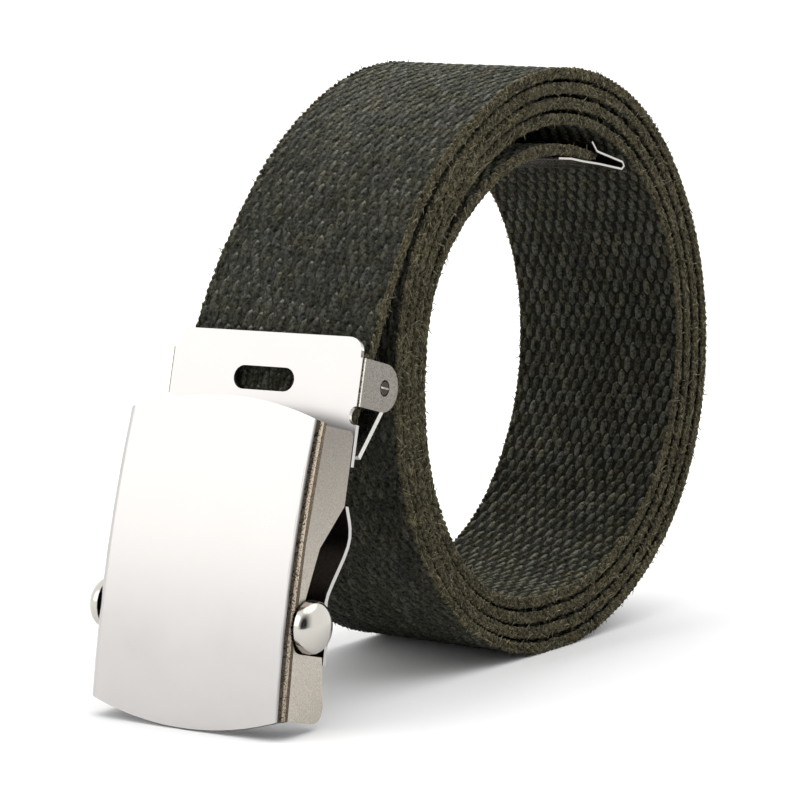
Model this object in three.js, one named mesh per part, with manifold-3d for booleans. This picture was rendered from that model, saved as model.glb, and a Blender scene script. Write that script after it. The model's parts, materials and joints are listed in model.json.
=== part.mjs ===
// Coiled canvas web belt with a roller buckle at one end and a folded metal tip at the other.
// Millimetres, +Z up. X runs across the webbing, the buckle stands at -Y in front of the coil,
// and the origin is at the middle of the base of the whole belt.
import * as THREE from 'three';
import { mergeVertices } from 'three/addons/utils/BufferGeometryUtils.js';
import Module from 'manifold-3d';

const wasm = await Module();
wasm.setup();

// Webbing
const WEBBING_WIDTH = 38;
const WEBBING_THICKNESS = 2.1;
const WEBBING_EDGE_ROUND = 0.8;
const LARGEST_ROUND_SHARE = 0.6;
const CRIMPED_THICKNESS = 1.2;
const CRIMP_LENGTH = 5.5;

// Coil of webbing, wound from the buckle over the top, down the back and inwards
const COIL_RADIUS = 56;
const REST_FLATTENING = 0.25;
const SPIRAL_START = 50;
const SPIRAL_END = 1544;
const RING_STEP = 8;
const KNOT_STEP = 30;
const HEADING_STEP = 0.05;
const REST_ANGLE = 270;
const LEAST_SLOPE = 0.5;

// Outside radius of the first turn, as a share of COIL_RADIUS, from the front (0) over the top (90),
// with a row for each KNOT_STEP. The lean, in degrees, is the same for all turns: with a positive lean
// the +X edge of the webbing lies further in than the -X edge.
const FIRST_TURN = [
  { angle: 0, radius: 0.975, lean: 0 },
  { angle: 30, radius: 0.998, lean: 3 },
  { angle: 60, radius: 0.997, lean: 3.5 },
  { angle: 90, radius: 1.03, lean: 2 },
  { angle: 120, radius: 1.034, lean: -2 },
  { angle: 150, radius: 1.005, lean: -3.5 },
  { angle: 180, radius: 0.995, lean: -3 },
  { angle: 210, radius: 0.993, lean: -2.5 },
  { angle: 240, radius: 0.991, lean: 0 },
  { angle: 270, radius: 0.984, lean: 0 },
  { angle: 300, radius: 0.968, lean: 0 },
  { angle: 330, radius: 0.929, lean: 0 },
  { angle: 360, radius: 0.896, lean: 0 },
];

// The lean eases off before the metal tip, which is level
const LEVEL_LENGTH = 24;
const LEAN_EASE = 36;

// Air between a turn and the turn outside it, as a share of WEBBING_THICKNESS, a row for each KNOT_STEP
const TURN_AIR = [
  { angle: 30, second: 0.86, third: 0.14, fourth: 0.14, fifth: 0.24 },
  { angle: 60, second: 0.38, third: 0.14, fourth: 0.14, fifth: 1.29 },
  { angle: 90, second: 0.33, third: 0.38, fourth: 0.38, fifth: 2 },
  { angle: 120, second: 0.38, third: 0.52, fourth: 0.52, fifth: 1.67 },
  { angle: 150, second: 0.36, third: 0.36, fourth: 0.38, fifth: 1.67 },
  { angle: 180, second: 0.52, third: 0.5, fourth: 0.5, fifth: 1.67 },
  { angle: 210, second: 0.52, third: 0.52, fourth: 0.52, fifth: 1.67 },
  { angle: 240, second: 0.48, third: 0.48, fourth: 0.48, fifth: 1.67 },
  { angle: 270, second: 0.52, third: 0.52, fourth: 0.48, fifth: 1.67 },
  { angle: 300, second: 0.14, third: 0.14, fourth: 0.19, fifth: 1.67 },
  { angle: 330, second: 0.14, third: 0.12, fourth: 0.12, fifth: 1.67 },
  { angle: 360, second: 0.12, third: 0.12, fourth: 0.14, fifth: 1.67 },
];

// Free run of webbing from the buckle's clamp to the coil
const RUN_START_V = 25;
const RUN_LEAVING_SHARE = 0.15;
const RUN_LANDING_SHARE = 0.35;
const RUN_TWIST = 8;

// Buckle: sheet, clearances and placement. Its own frame has u across, d backwards and v upwards.
const SHEET = 0.9;
const SIDE_PLAY = 1.1;
const PIECE_GAP = 0.3;
const STRAP_GAP = 0.25;
const FLOOR_GAP = 0.05;
const BUCKLE_LEAN = 15;
const BUCKLE_YAW = 3.7;
const BUCKLE_SHIFT_X = 0.6;
const COIL_TO_EAR_GAP = 0.3;

// Face frame: bowed face with two flanges folded back
const FACE_HALF_HEIGHT = 25.8;
const FACE_ARC_RISE = 3.6;
const FACE_BOW = 1.5;
const FOLD_RADIUS = 1.7;
const FLANGE_DEPTH = 10.5;
const LOWER_LOBE_DEPTH = 11.8;
const LOBE_CORNER = 3;
const UPPER_FLANGE_TOP = 25.4;
const SLOT_BOTTOM = -14.2;
const SLOT_RAMP_TOP = 12.3;
const SLOT_CORNER = 3.2;

// Roller bar and its knobs
const ROLLER_RADIUS = 2.1;
const ROLLER_REST = { v: -9.3, d: 3.9 };
const ROLLER_TRAVEL = 13;
const ROLLER_RISE_ANGLE = 14.4;
const SPIGOT_RADIUS = 1.2;
const SPIGOT_LENGTH = 2.2;
const KNOB_RADIUS = 4.7;
const KNOB_HEIGHT = 3.5;
const KNOB_RIM = 0.9;

// Back plate with ears
const PLATE_TOP = 42.2;
const PLATE_CORNER = 3;
const PLATE_BOTTOM = -15.6;
const PLATE_WAVE_HEIGHT = 2.8;
const PLATE_WAVE_DIP = 1.8;
const PLATE_WAVE_TOP = 12.4;
const PLATE_NECK_INSET = 1.8;
const TAB_BOTTOM = 19.3;
const TAB_TOP = 26.7;
const NOTCH_TOP = 30;
const EAR_TOP = 38.6;
const PIN_STRAP_GAP = 3.05;
const EAR_NOSE = 4.3;
const EAR_HOLE_CLEARANCE = 0.3;
const PLATE_SLOT_LENGTH = 13.2;
const PLATE_SLOT_HEIGHT = 4.3;
const PLATE_SLOT_V = 33.8;

// Clamp flap
const FLAP_SHEET = 1;
const FLAP_PIN_RADIUS = 1.2;
const FLAP_KNEE_REACH = 3.8;
const FLAP_KNEE_ANGLE = 43;
const FLAP_TOE_V = 21.3;
const TOOTH_PITCH = 3;
const TOOTH_DEPTH = 1;
const STRAP_TAIL_V = 20.6;

// Metal tip on the free end
const TIP_SHEET = 0.5;
const TIP_SIDE_OVERHANG = 0.4;
const TIP_LOWER_JAW = 14;
const TIP_UPPER_JAW = 1.2;
const TIP_NOSE = 8.2;
const TIP_NOSE_HALF = 0.7;
const TIP_LIP_RUN = 2.1;
const TIP_LIP_RISE = 1.6;

const FRAME_HALF = WEBBING_WIDTH / 2 + SIDE_PLAY + SHEET;
const PLATE_FRONT = FLANGE_DEPTH + PIECE_GAP;
const PLATE_REAR = PLATE_FRONT + SHEET;
const STRAP_REAR = PLATE_REAR + STRAP_GAP + WEBBING_THICKNESS;
const EAR_PIVOT_D = STRAP_REAR + PIN_STRAP_GAP + FLAP_PIN_RADIUS;
const EAR_PIVOT_V = (EAR_TOP + NOTCH_TOP) / 2;
const EAR_HALF = (EAR_TOP - NOTCH_TOP) / 2;
const LEAN = THREE.MathUtils.degToRad(BUCKLE_LEAN);
const YAW = THREE.MathUtils.degToRad(BUCKLE_YAW);
const RISE = THREE.MathUtils.degToRad(ROLLER_RISE_ANGLE);
const CENTRE_HEIGHT = COIL_RADIUS * FIRST_TURN[REST_ANGLE / KNOT_STEP].radius - REST_FLATTENING;
const CURVE_STEPS = 8;
const RUN_STEPS = 12;
const MITRE_LIMIT = 0.5;
const CUT_MARGIN = 1;

const webbingMaterial = new THREE.MeshStandardMaterial({ color: 0x45462f, roughness: 0.95, metalness: 0 });
const nickelMaterial = new THREE.MeshStandardMaterial({ color: 0xd9d4c8, roughness: 0.32, metalness: 0.9 });

// Closed-mesh helpers

function toSolid(geometry) {
  const bare = geometry.clone();
  bare.deleteAttribute('normal');
  bare.deleteAttribute('uv');
  const merged = mergeVertices(bare);
  return new wasm.Manifold(new wasm.Mesh({
    numProp: 3,
    vertProperties: new Float32Array(merged.attributes.position.array),
    triVerts: new Uint32Array(merged.index.array),
  }));
}

function toGeometry(solid) {
  const mesh = solid.getMesh();
  const geometry = new THREE.BufferGeometry();
  geometry.setAttribute('position', new THREE.BufferAttribute(new Float32Array(mesh.vertProperties), 3));
  geometry.setIndex(new THREE.BufferAttribute(new Uint32Array(mesh.triVerts), 1));
  geometry.computeVertexNormals();
  return geometry;
}

function namedMesh(name, geometry, material) {
  const mesh = new THREE.Mesh(geometry, material.clone());
  mesh.name = name;
  return mesh;
}

function drawnOut(shape, depth) {
  return new THREE.ExtrudeGeometry(shape, { depth, bevelEnabled: false, curveSegments: CURVE_STEPS });
}

// A profile drawn in (Y, Z) and drawn out along X between two values
function extrudeAcross(shape, from, to) {
  const geometry = drawnOut(shape, to - from);
  geometry.applyMatrix4(new THREE.Matrix4().makeBasis(
    new THREE.Vector3(0, 1, 0),
    new THREE.Vector3(0, 0, 1),
    new THREE.Vector3(1, 0, 0),
  ));
  return geometry.translate(from, 0, 0);
}

// An outline drawn in (X, Z) and drawn out along Y between two values
function extrudeBack(shape, from, to) {
  const geometry = drawnOut(shape, to - from);
  return geometry.rotateX(Math.PI / 2).translate(0, to, 0);
}

// Rings of equal point count joined into one closed skin
function loft(rings) {
  const count = rings[0].length;
  const positions = rings.flat().flatMap((point) => [point.x, point.y, point.z]);
  const indices = [];
  for (let ring = 0; ring < rings.length - 1; ring += 1) {
    for (let k = 0; k < count; k += 1) {
      const next = (k + 1) % count;
      const a = ring * count + k;
      const b = ring * count + next;
      indices.push(a, b, b + count, a, b + count, a + count);
    }
  }
  const contour = rings[0].map((point) => flatten(point, rings[0]));
  const last = (rings.length - 1) * count;
  for (const [a, b, c] of THREE.ShapeUtils.triangulateShape(contour, [])) {
    indices.push(a, c, b);
    indices.push(last + a, last + b, last + c);
  }
  const geometry = new THREE.BufferGeometry();
  geometry.setAttribute('position', new THREE.Float32BufferAttribute(positions, 3));
  geometry.setIndex(indices);
  geometry.computeVertexNormals();
  return geometry;
}

// A ring's point in the ring's own plane, for capping
function flatten(point, ring) {
  const along = ring[1].clone().sub(ring[0]).normalize();
  const normal = new THREE.Vector3();
  ring.forEach((corner, k) => normal.add(corner.clone().cross(ring[(k + 1) % ring.length])));
  const across = normal.normalize().cross(along);
  const arm = point.clone().sub(ring[0]);
  return new THREE.Vector2(arm.dot(along), arm.dot(across));
}

// The outline of a bent sheet whose middle line follows the points
function sheetShape(points, thickness) {
  const left = [];
  const right = [];
  points.forEach((point, k) => {
    const before = points[Math.max(k - 1, 0)];
    const after = points[Math.min(k + 1, points.length - 1)];
    const arriving = point.clone().sub(before).normalize();
    const leaving = after.clone().sub(point).normalize();
    const heading = arriving.clone().add(leaving).normalize();
    const mitre = Math.max(heading.dot(arriving), heading.dot(leaving), MITRE_LIMIT);
    const side = new THREE.Vector2(-heading.y, heading.x).multiplyScalar(thickness / 2 / mitre);
    left.push(point.clone().add(side));
    right.push(point.clone().sub(side));
  });
  return new THREE.Shape([...right, ...left.reverse()]);
}

// The coil's outside radius at a winding angle, smooth through the knots of all turns

function buildKnots() {
  const knots = FIRST_TURN.map((row) => COIL_RADIUS * row.radius);
  const turns = ['second', 'third', 'fourth', 'fifth'];
  for (const turn of turns) {
    for (const row of TURN_AIR) {
      const outer = knots[knots.length - 360 / KNOT_STEP];
      knots.push(outer - WEBBING_THICKNESS * (1 + row[turn]));
    }
  }
  return knots;
}

const coilKnots = buildKnots();

// A value at a winding angle, on a smooth curve through values that lie KNOT_STEP apart
function smoothValue(angle, valueAt) {
  const k = Math.floor(angle / KNOT_STEP);
  const t = angle / KNOT_STEP - k;
  const [p0, p1, p2, p3] = [k - 1, k, k + 1, k + 2].map(valueAt);
  const a = 2 * p1;
  const b = p2 - p0;
  const c = 2 * p0 - 5 * p1 + 4 * p2 - p3;
  const d = 3 * p1 - p0 - 3 * p2 + p3;
  return 0.5 * (a + b * t + c * t * t + d * t * t * t);
}

function smoothRadius(angle) {
  return smoothValue(angle, (n) => coilKnots[Math.max(n, 0)]);
}

// The first turn is flat where it rests, and each later turn is flattened with it
function outerRadius(angle) {
  const direction = angle % 360;
  const below = Math.max(-Math.sin(THREE.MathUtils.degToRad(direction)), 0);
  const first = smoothRadius(direction + (direction < SPIRAL_START ? 360 : 0));
  const squash = Math.max(first * below - CENTRE_HEIGHT, 0) / Math.max(below, LEAST_SLOPE);
  return smoothRadius(angle) - squash;
}

function coilPoint(angle) {
  const radians = THREE.MathUtils.degToRad(angle);
  const radius = outerRadius(angle) - WEBBING_THICKNESS / 2;
  return new THREE.Vector3(0, -radius * Math.cos(radians), CENTRE_HEIGHT + radius * Math.sin(radians));
}

function coilHeading(angle) {
  return coilPoint(angle + HEADING_STEP).sub(coilPoint(angle - HEADING_STEP)).normalize();
}

// Which way the webbing's width points round the coil
function coilAcross(angle) {
  const round = 360 / KNOT_STEP;
  const levelled = THREE.MathUtils.clamp((SPIRAL_END - LEVEL_LENGTH - angle) / LEAN_EASE, 0, 1);
  const degrees = levelled * smoothValue(angle, (n) => FIRST_TURN[(n + round) % round].lean);
  const lean = THREE.MathUtils.degToRad(degrees);
  const radians = THREE.MathUtils.degToRad(angle);
  const inwards = Math.sin(lean);
  return new THREE.Vector3(Math.cos(lean), inwards * Math.cos(radians), -inwards * Math.sin(radians));
}

// Placement of the buckle: its ears end just short of the coil's second turn, its foot on the floor
function bucklePosition() {
  const leanReach = EAR_PIVOT_V * Math.sin(LEAN) + (EAR_PIVOT_D + EAR_NOSE) * Math.cos(LEAN);
  const yawReach = FRAME_HALF * Math.sin(YAW);
  const y = -outerRadius(360) - COIL_TO_EAR_GAP - leanReach - yawReach;
  const footV = FACE_HALF_HEIGHT + FACE_ARC_RISE;
  const footD = SHEET + FACE_BOW * ((footV / FACE_HALF_HEIGHT) ** 2 - 1);
  const z = FLOOR_GAP + footV * Math.cos(LEAN) + footD * Math.sin(LEAN);
  return new THREE.Vector3(BUCKLE_SHIFT_X, y, z);
}

const buckleRotation = new THREE.Euler(-LEAN, 0, YAW, 'ZYX');
const buckleMatrix = new THREE.Matrix4().compose(
  bucklePosition(),
  new THREE.Quaternion().setFromEuler(buckleRotation),
  new THREE.Vector3(1, 1, 1),
);

function buckleToWorld(u, d, v) {
  return new THREE.Vector3(u, d, v).applyMatrix4(buckleMatrix);
}

// Webbing strap

function strapRing(centre, heading, across, thickness) {
  const width = across.clone().addScaledVector(heading, -across.dot(heading)).normalize();
  const outward = width.clone().cross(heading);
  const w = WEBBING_WIDTH / 2;
  const t = thickness / 2;
  const round = Math.min(WEBBING_EDGE_ROUND, t * LARGEST_ROUND_SHARE);
  const corners = [
    [-w, -t + round], [-w, t - round], [-w + round, t], [w - round, t],
    [w, t - round], [w, -t + round], [w - round, -t], [-w + round, -t],
  ];
  return corners.map(([a, b]) => centre.clone().addScaledVector(width, a).addScaledVector(outward, b));
}

// The free run from the clamp up to the coil: a cubic that leaves along the plate and lands on the spiral
function runCurve() {
  const exit = buckleToWorld(0, STRAP_REAR - WEBBING_THICKNESS / 2, RUN_START_V);
  const up = new THREE.Vector3(0, 0, 1).transformDirection(buckleMatrix);
  const landing = coilPoint(SPIRAL_START);
  const span = exit.distanceTo(landing);
  return new THREE.CubicBezierCurve3(
    exit,
    exit.clone().addScaledVector(up, RUN_LEAVING_SHARE * span),
    landing.clone().addScaledVector(coilHeading(SPIRAL_START), -RUN_LANDING_SHARE * span),
    landing,
  );
}

// Which way the webbing's width points along the run, from square to the buckle to square to the coil
function runAcross(t) {
  const settled = BUCKLE_YAW * (1 - THREE.MathUtils.smoothstep(t, 0, 1));
  const turn = THREE.MathUtils.degToRad(settled + RUN_TWIST * Math.sin(Math.PI * t) ** 2 * (1 - t));
  const landed = coilAcross(SPIRAL_START).setX(0).multiplyScalar(THREE.MathUtils.smoothstep(t, 0, 1));
  return new THREE.Vector3(Math.cos(turn), Math.sin(turn), 0).add(landed);
}

function webbingStrap() {
  const run = runCurve();
  const tail = buckleToWorld(0, STRAP_REAR - WEBBING_THICKNESS / 2, STRAP_TAIL_V);
  const rings = [strapRing(tail, run.getTangent(0), runAcross(0), WEBBING_THICKNESS)];
  for (let k = 0; k < RUN_STEPS; k += 1) {
    const t = k / RUN_STEPS;
    rings.push(strapRing(run.getPoint(t), run.getTangent(t), runAcross(t), WEBBING_THICKNESS));
  }
  for (let angle = SPIRAL_START; angle < SPIRAL_END; angle += RING_STEP) {
    rings.push(strapRing(coilPoint(angle), coilHeading(angle), coilAcross(angle), WEBBING_THICKNESS));
  }
  const heading = coilHeading(SPIRAL_END);
  const across = coilAcross(SPIRAL_END);
  const end = coilPoint(SPIRAL_END).addScaledVector(heading, CRIMP_LENGTH);
  rings.push(strapRing(coilPoint(SPIRAL_END), heading, across, WEBBING_THICKNESS));
  rings.push(strapRing(end, heading, across, CRIMPED_THICKNESS));
  return namedMesh('webbing_strap', loft(rings), webbingMaterial);
}

// Face frame

function channelRing(v) {
  const points = [];
  const bow = -FACE_BOW * (1 - (v / FACE_HALF_HEIGHT) ** 2);
  const deep = LOWER_LOBE_DEPTH + 2 * FACE_BOW;
  const arcs = [[FRAME_HALF, 0, FOLD_RADIUS], [FRAME_HALF - SHEET, SHEET, FOLD_RADIUS - SHEET]];
  const half = CURVE_STEPS / 2;
  const sideArc = ([edge, face, radius], sign) => {
    const row = [new THREE.Vector3(sign * edge, bow + deep, v)];
    for (let k = 0; k <= half; k += 1) {
      const turn = (k / half) * (Math.PI / 2);
      const u = edge - radius + radius * Math.cos(turn);
      const d = face + radius - radius * Math.sin(turn);
      row.push(new THREE.Vector3(sign * u, bow + d, v));
    }
    return row;
  };
  points.push(...sideArc(arcs[0], 1), ...sideArc(arcs[0], -1).reverse());
  points.push(...sideArc(arcs[1], -1), ...sideArc(arcs[1], 1).reverse());
  return points.reverse();
}

function faceOutline() {
  const radius = (FRAME_HALF ** 2 + FACE_ARC_RISE ** 2) / (2 * FACE_ARC_RISE);
  const centre = FACE_HALF_HEIGHT + FACE_ARC_RISE - radius;
  const spread = Math.asin(FRAME_HALF / radius);
  const shape = new THREE.Shape();
  shape.absarc(0, centre, radius, Math.PI / 2 - spread, Math.PI / 2 + spread, false);
  shape.absarc(0, -centre, radius, -Math.PI / 2 - spread, -Math.PI / 2 + spread, false);
  shape.closePath();
  return shape;
}

// Side view of one flange with the roller's slanted slot, as (d, v)
function flangeSide() {
  const far = 2 * FACE_BOW;
  const edgeAtRest = ROLLER_REST.d - (ROLLER_RADIUS + 2 * PIECE_GAP) / Math.cos(RISE);
  const edge = (v) => edgeAtRest + (v - ROLLER_REST.v) * Math.tan(RISE);
  const rampFoot = ROLLER_REST.v + (ROLLER_TRAVEL + ROLLER_RADIUS / 2) * Math.cos(RISE);
  const shape = new THREE.Shape();
  const faceEnd = FACE_HALF_HEIGHT + FACE_ARC_RISE + SHEET;
  shape.moveTo(-far, -faceEnd);
  shape.lineTo(FOLD_RADIUS, -faceEnd);
  shape.lineTo(FOLD_RADIUS, -FACE_HALF_HEIGHT);
  shape.lineTo(LOWER_LOBE_DEPTH - LOBE_CORNER, -FACE_HALF_HEIGHT);
  const lobeCornerV = -FACE_HALF_HEIGHT + LOBE_CORNER;
  shape.quadraticCurveTo(LOWER_LOBE_DEPTH, -FACE_HALF_HEIGHT, LOWER_LOBE_DEPTH, lobeCornerV);
  shape.lineTo(FLANGE_DEPTH - SHEET, SLOT_BOTTOM);
  shape.lineTo(edge(SLOT_BOTTOM) + SLOT_CORNER, SLOT_BOTTOM);
  const cornerV = SLOT_BOTTOM + SLOT_CORNER;
  shape.quadraticCurveTo(edge(SLOT_BOTTOM), SLOT_BOTTOM, edge(cornerV), cornerV);
  shape.lineTo(edge(rampFoot), rampFoot);
  shape.lineTo(FLANGE_DEPTH, SLOT_RAMP_TOP);
  shape.lineTo(FLANGE_DEPTH, UPPER_FLANGE_TOP - SHEET);
  shape.lineTo(FLANGE_DEPTH - SHEET, UPPER_FLANGE_TOP);
  shape.lineTo(FOLD_RADIUS, UPPER_FLANGE_TOP);
  shape.lineTo(FOLD_RADIUS, faceEnd);
  shape.lineTo(-far, faceEnd);
  shape.closePath();
  return shape;
}

function faceFrame() {
  const rings = [];
  const steps = 2 * CURVE_STEPS;
  const reach = FACE_HALF_HEIGHT + FACE_ARC_RISE + 2 * SHEET;
  for (let k = 0; k <= steps; k += 1) {
    rings.push(channelRing(-reach + (2 * reach * k) / steps));
  }
  const channel = toSolid(loft(rings));
  const outlineBack = LOWER_LOBE_DEPTH + CUT_MARGIN;
  const outline = toSolid(extrudeBack(faceOutline(), -2 * FACE_BOW - CUT_MARGIN, outlineBack));
  const side = toSolid(extrudeAcross(flangeSide(), -FRAME_HALF - CUT_MARGIN, FRAME_HALF + CUT_MARGIN));
  return namedMesh('face_frame', toGeometry(channel.intersect(outline).intersect(side)), nickelMaterial);
}

// Back plate

function plateProfile() {
  const middle = PLATE_REAR - SHEET / 2;
  const waveMiddle = PLATE_WAVE_TOP / 2;
  const curve = new THREE.SplineCurve([
    new THREE.Vector2(middle, PLATE_WAVE_TOP + 2),
    new THREE.Vector2(middle + PLATE_WAVE_HEIGHT / 4, PLATE_WAVE_TOP),
    new THREE.Vector2(middle + PLATE_WAVE_HEIGHT, waveMiddle),
    new THREE.Vector2(middle - PLATE_WAVE_DIP, PLATE_BOTTOM / 4),
    new THREE.Vector2(middle - PLATE_WAVE_DIP / 4, PLATE_BOTTOM / 2),
    new THREE.Vector2(middle, PLATE_BOTTOM),
  ]);
  const points = [new THREE.Vector2(middle, PLATE_TOP), ...curve.getPoints(3 * CURVE_STEPS)];
  return sheetShape(points, SHEET);
}

// Front view of the back plate, half of it mirrored, as (u, v)
function plateOutline() {
  const wide = FRAME_HALF - SHEET / 2;
  const neck = FRAME_HALF - PLATE_NECK_INSET;
  const notch = new THREE.EllipseCurve(
    wide, (NOTCH_TOP + TAB_TOP) / 2, wide - neck, (NOTCH_TOP - TAB_TOP) / 2, Math.PI * 1.5, Math.PI / 2, true,
  );
  const steps = [
    [wide, PLATE_BOTTOM - CUT_MARGIN], [wide, PLATE_WAVE_TOP], [neck, PLATE_WAVE_TOP], [neck, TAB_BOTTOM],
    [FRAME_HALF, TAB_BOTTOM], [FRAME_HALF, TAB_TOP], ...notch.getPoints(CURVE_STEPS).map(({ x, y }) => [x, y]),
    [wide, EAR_TOP], [neck + SHEET, EAR_TOP], [neck + SHEET, PLATE_TOP - PLATE_CORNER],
  ];
  const shape = new THREE.Shape(steps.map(([u, v]) => new THREE.Vector2(u, v)));
  const top = neck + SHEET;
  shape.quadraticCurveTo(top, PLATE_TOP, top - PLATE_CORNER, PLATE_TOP);
  shape.lineTo(-top + PLATE_CORNER, PLATE_TOP);
  shape.quadraticCurveTo(-top, PLATE_TOP, -top, PLATE_TOP - PLATE_CORNER);
  steps.reverse().forEach(([u, v]) => shape.lineTo(-u, v));
  const slotHalf = (PLATE_SLOT_LENGTH - PLATE_SLOT_HEIGHT) / 2;
  const slot = new THREE.Path();
  slot.absarc(slotHalf, PLATE_SLOT_V, PLATE_SLOT_HEIGHT / 2, -Math.PI / 2, Math.PI / 2, false);
  slot.absarc(-slotHalf, PLATE_SLOT_V, PLATE_SLOT_HEIGHT / 2, Math.PI / 2, Math.PI * 1.5, false);
  shape.holes.push(slot);
  return shape;
}

function ear(side) {
  const shape = new THREE.Shape();
  shape.moveTo(PLATE_FRONT, NOTCH_TOP);
  shape.lineTo(EAR_PIVOT_D, NOTCH_TOP);
  shape.absellipse(EAR_PIVOT_D, EAR_PIVOT_V, EAR_NOSE, EAR_HALF, -Math.PI / 2, Math.PI / 2, false);
  shape.lineTo(PLATE_FRONT, EAR_TOP);
  const hole = new THREE.Path();
  hole.absarc(EAR_PIVOT_D, EAR_PIVOT_V, FLAP_PIN_RADIUS + EAR_HOLE_CLEARANCE, 0, 2 * Math.PI, true);
  shape.holes.push(hole);
  const middle = side * (FRAME_HALF - SHEET / 2);
  return toSolid(extrudeAcross(shape, middle - SHEET / 2, middle + SHEET / 2));
}

function backPlate() {
  const sheet = toSolid(extrudeAcross(plateProfile(), -FRAME_HALF - CUT_MARGIN, FRAME_HALF + CUT_MARGIN));
  const outline = toSolid(extrudeBack(plateOutline(), 0, PLATE_REAR + 2 * PLATE_WAVE_HEIGHT));
  const plate = sheet.intersect(outline).add(ear(1)).add(ear(-1));
  return namedMesh('back_plate', toGeometry(plate), nickelMaterial);
}

// Roller bar and knobs

function lathedAcross(profile, segments) {
  const points = profile.map(([radius, along]) => new THREE.Vector2(radius, along));
  const geometry = new THREE.LatheGeometry(points, segments);
  return geometry.rotateZ(-Math.PI / 2);
}

function rollerBar() {
  const shoulder = FRAME_HALF + PIECE_GAP / 2;
  const end = shoulder + SPIGOT_LENGTH;
  const profile = [
    [0, -end], [SPIGOT_RADIUS, -end], [SPIGOT_RADIUS, -shoulder], [ROLLER_RADIUS, -shoulder],
    [ROLLER_RADIUS, shoulder], [SPIGOT_RADIUS, shoulder], [SPIGOT_RADIUS, end], [0, end],
  ];
  const mesh = namedMesh('roller_bar', lathedAcross(profile, 3 * CURVE_STEPS), nickelMaterial);
  mesh.position.set(0, ROLLER_REST.d, ROLLER_REST.v);
  return mesh;
}

function knob(name, side) {
  const bore = SPIGOT_RADIUS + PIECE_GAP;
  const depth = SPIGOT_LENGTH + PIECE_GAP;
  const profile = [[0, depth], [bore, depth], [bore, 0], [KNOB_RADIUS, 0], [KNOB_RADIUS, KNOB_RIM]];
  const steps = CURVE_STEPS;
  for (let k = 1; k <= steps; k += 1) {
    const turn = (k / steps) * (Math.PI / 2);
    profile.push([KNOB_RADIUS * Math.cos(turn), KNOB_RIM + (KNOB_HEIGHT - KNOB_RIM) * Math.sin(turn)]);
  }
  profile[profile.length - 1][0] = 0;
  const mesh = namedMesh(name, lathedAcross(profile, 3 * CURVE_STEPS), nickelMaterial);
  if (side < 0) {
    mesh.rotation.z = Math.PI;
  }
  mesh.position.set(side * (FRAME_HALF + PIECE_GAP), ROLLER_REST.d, ROLLER_REST.v);
  return mesh;
}

// Clamp flap: a kneed plate on a pin, with a toothed toe that bites the strap's tail

function flapShape() {
  const knee = THREE.MathUtils.degToRad(FLAP_KNEE_ANGLE);
  const kneePoint = new THREE.Vector2(
    EAR_PIVOT_D + FLAP_KNEE_REACH * Math.sin(knee),
    EAR_PIVOT_V - FLAP_KNEE_REACH * Math.cos(knee),
  );
  const toe = new THREE.Vector2(STRAP_REAR + PIECE_GAP + FLAP_SHEET / 2, FLAP_TOE_V);
  const start = new THREE.Vector2(EAR_PIVOT_D + FLAP_PIN_RADIUS / 2, EAR_PIVOT_V);
  return sheetShape([start, kneePoint, toe], FLAP_SHEET);
}

function tooth(u) {
  const shape = new THREE.Shape([
    new THREE.Vector2(-TOOTH_PITCH / 4, -TOOTH_DEPTH),
    new THREE.Vector2(TOOTH_PITCH / 4, -TOOTH_DEPTH),
    new THREE.Vector2(0, TOOTH_DEPTH),
  ]);
  const geometry = extrudeBack(shape, STRAP_REAR, STRAP_REAR + 3 * FLAP_SHEET);
  return toSolid(geometry.translate(u, 0, FLAP_TOE_V));
}

function clampFlap() {
  const half = FRAME_HALF - SHEET - PIECE_GAP;
  let flap = toSolid(extrudeAcross(flapShape(), -half, half));
  for (let u = TOOTH_PITCH / 2; u < half - TOOTH_PITCH / 4; u += TOOTH_PITCH) {
    flap = flap.subtract(tooth(u)).subtract(tooth(-u));
  }
  const pin = new THREE.CylinderGeometry(FLAP_PIN_RADIUS, FLAP_PIN_RADIUS, 2 * FRAME_HALF, 2 * CURVE_STEPS);
  pin.rotateZ(Math.PI / 2).translate(0, EAR_PIVOT_D, EAR_PIVOT_V);
  return namedMesh('clamp_flap', toGeometry(flap.add(toSolid(pin))), nickelMaterial);
}

// Folded metal tip, drawn along the strap's end with s forwards and h outwards

function strapTip() {
  const jaw = CRIMPED_THICKNESS / 2 + STRAP_GAP + TIP_SHEET / 2;
  const open = (WEBBING_THICKNESS - CRIMPED_THICKNESS) / 2;
  const taper = open / CRIMP_LENGTH;
  const innerRadius = outerRadius(SPIRAL_END) - WEBBING_THICKNESS;
  const sag = (s) => (s + CRIMP_LENGTH) ** 2 / (2 * innerRadius);
  const half = (TIP_LOWER_JAW + CRIMP_LENGTH) / 2;
  const points = [
    [-TIP_LOWER_JAW, -jaw - open - sag(-TIP_LOWER_JAW)], [-half, -jaw - open - sag(-half)],
    [-CRIMP_LENGTH, -jaw - open], [0, -jaw], [TIP_NOSE, -TIP_NOSE_HALF],
    [TIP_NOSE + TIP_NOSE_HALF, 0], [TIP_NOSE, TIP_NOSE_HALF], [0, jaw],
    [-TIP_UPPER_JAW, jaw + taper * TIP_UPPER_JAW],
    [-TIP_UPPER_JAW - TIP_LIP_RUN, jaw + TIP_LIP_RISE],
  ].map(([s, h]) => new THREE.Vector2(s, h));
  const side = WEBBING_WIDTH / 2 + TIP_SIDE_OVERHANG;
  const geometry = extrudeAcross(sheetShape(points, TIP_SHEET), -side, side);
  const mesh = namedMesh('strap_tip', geometry, nickelMaterial);
  const heading = coilHeading(SPIRAL_END);
  mesh.position.copy(coilPoint(SPIRAL_END).addScaledVector(heading, CRIMP_LENGTH + PIECE_GAP));
  mesh.rotation.x = Math.atan2(heading.z, heading.y);
  return mesh;
}

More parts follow.
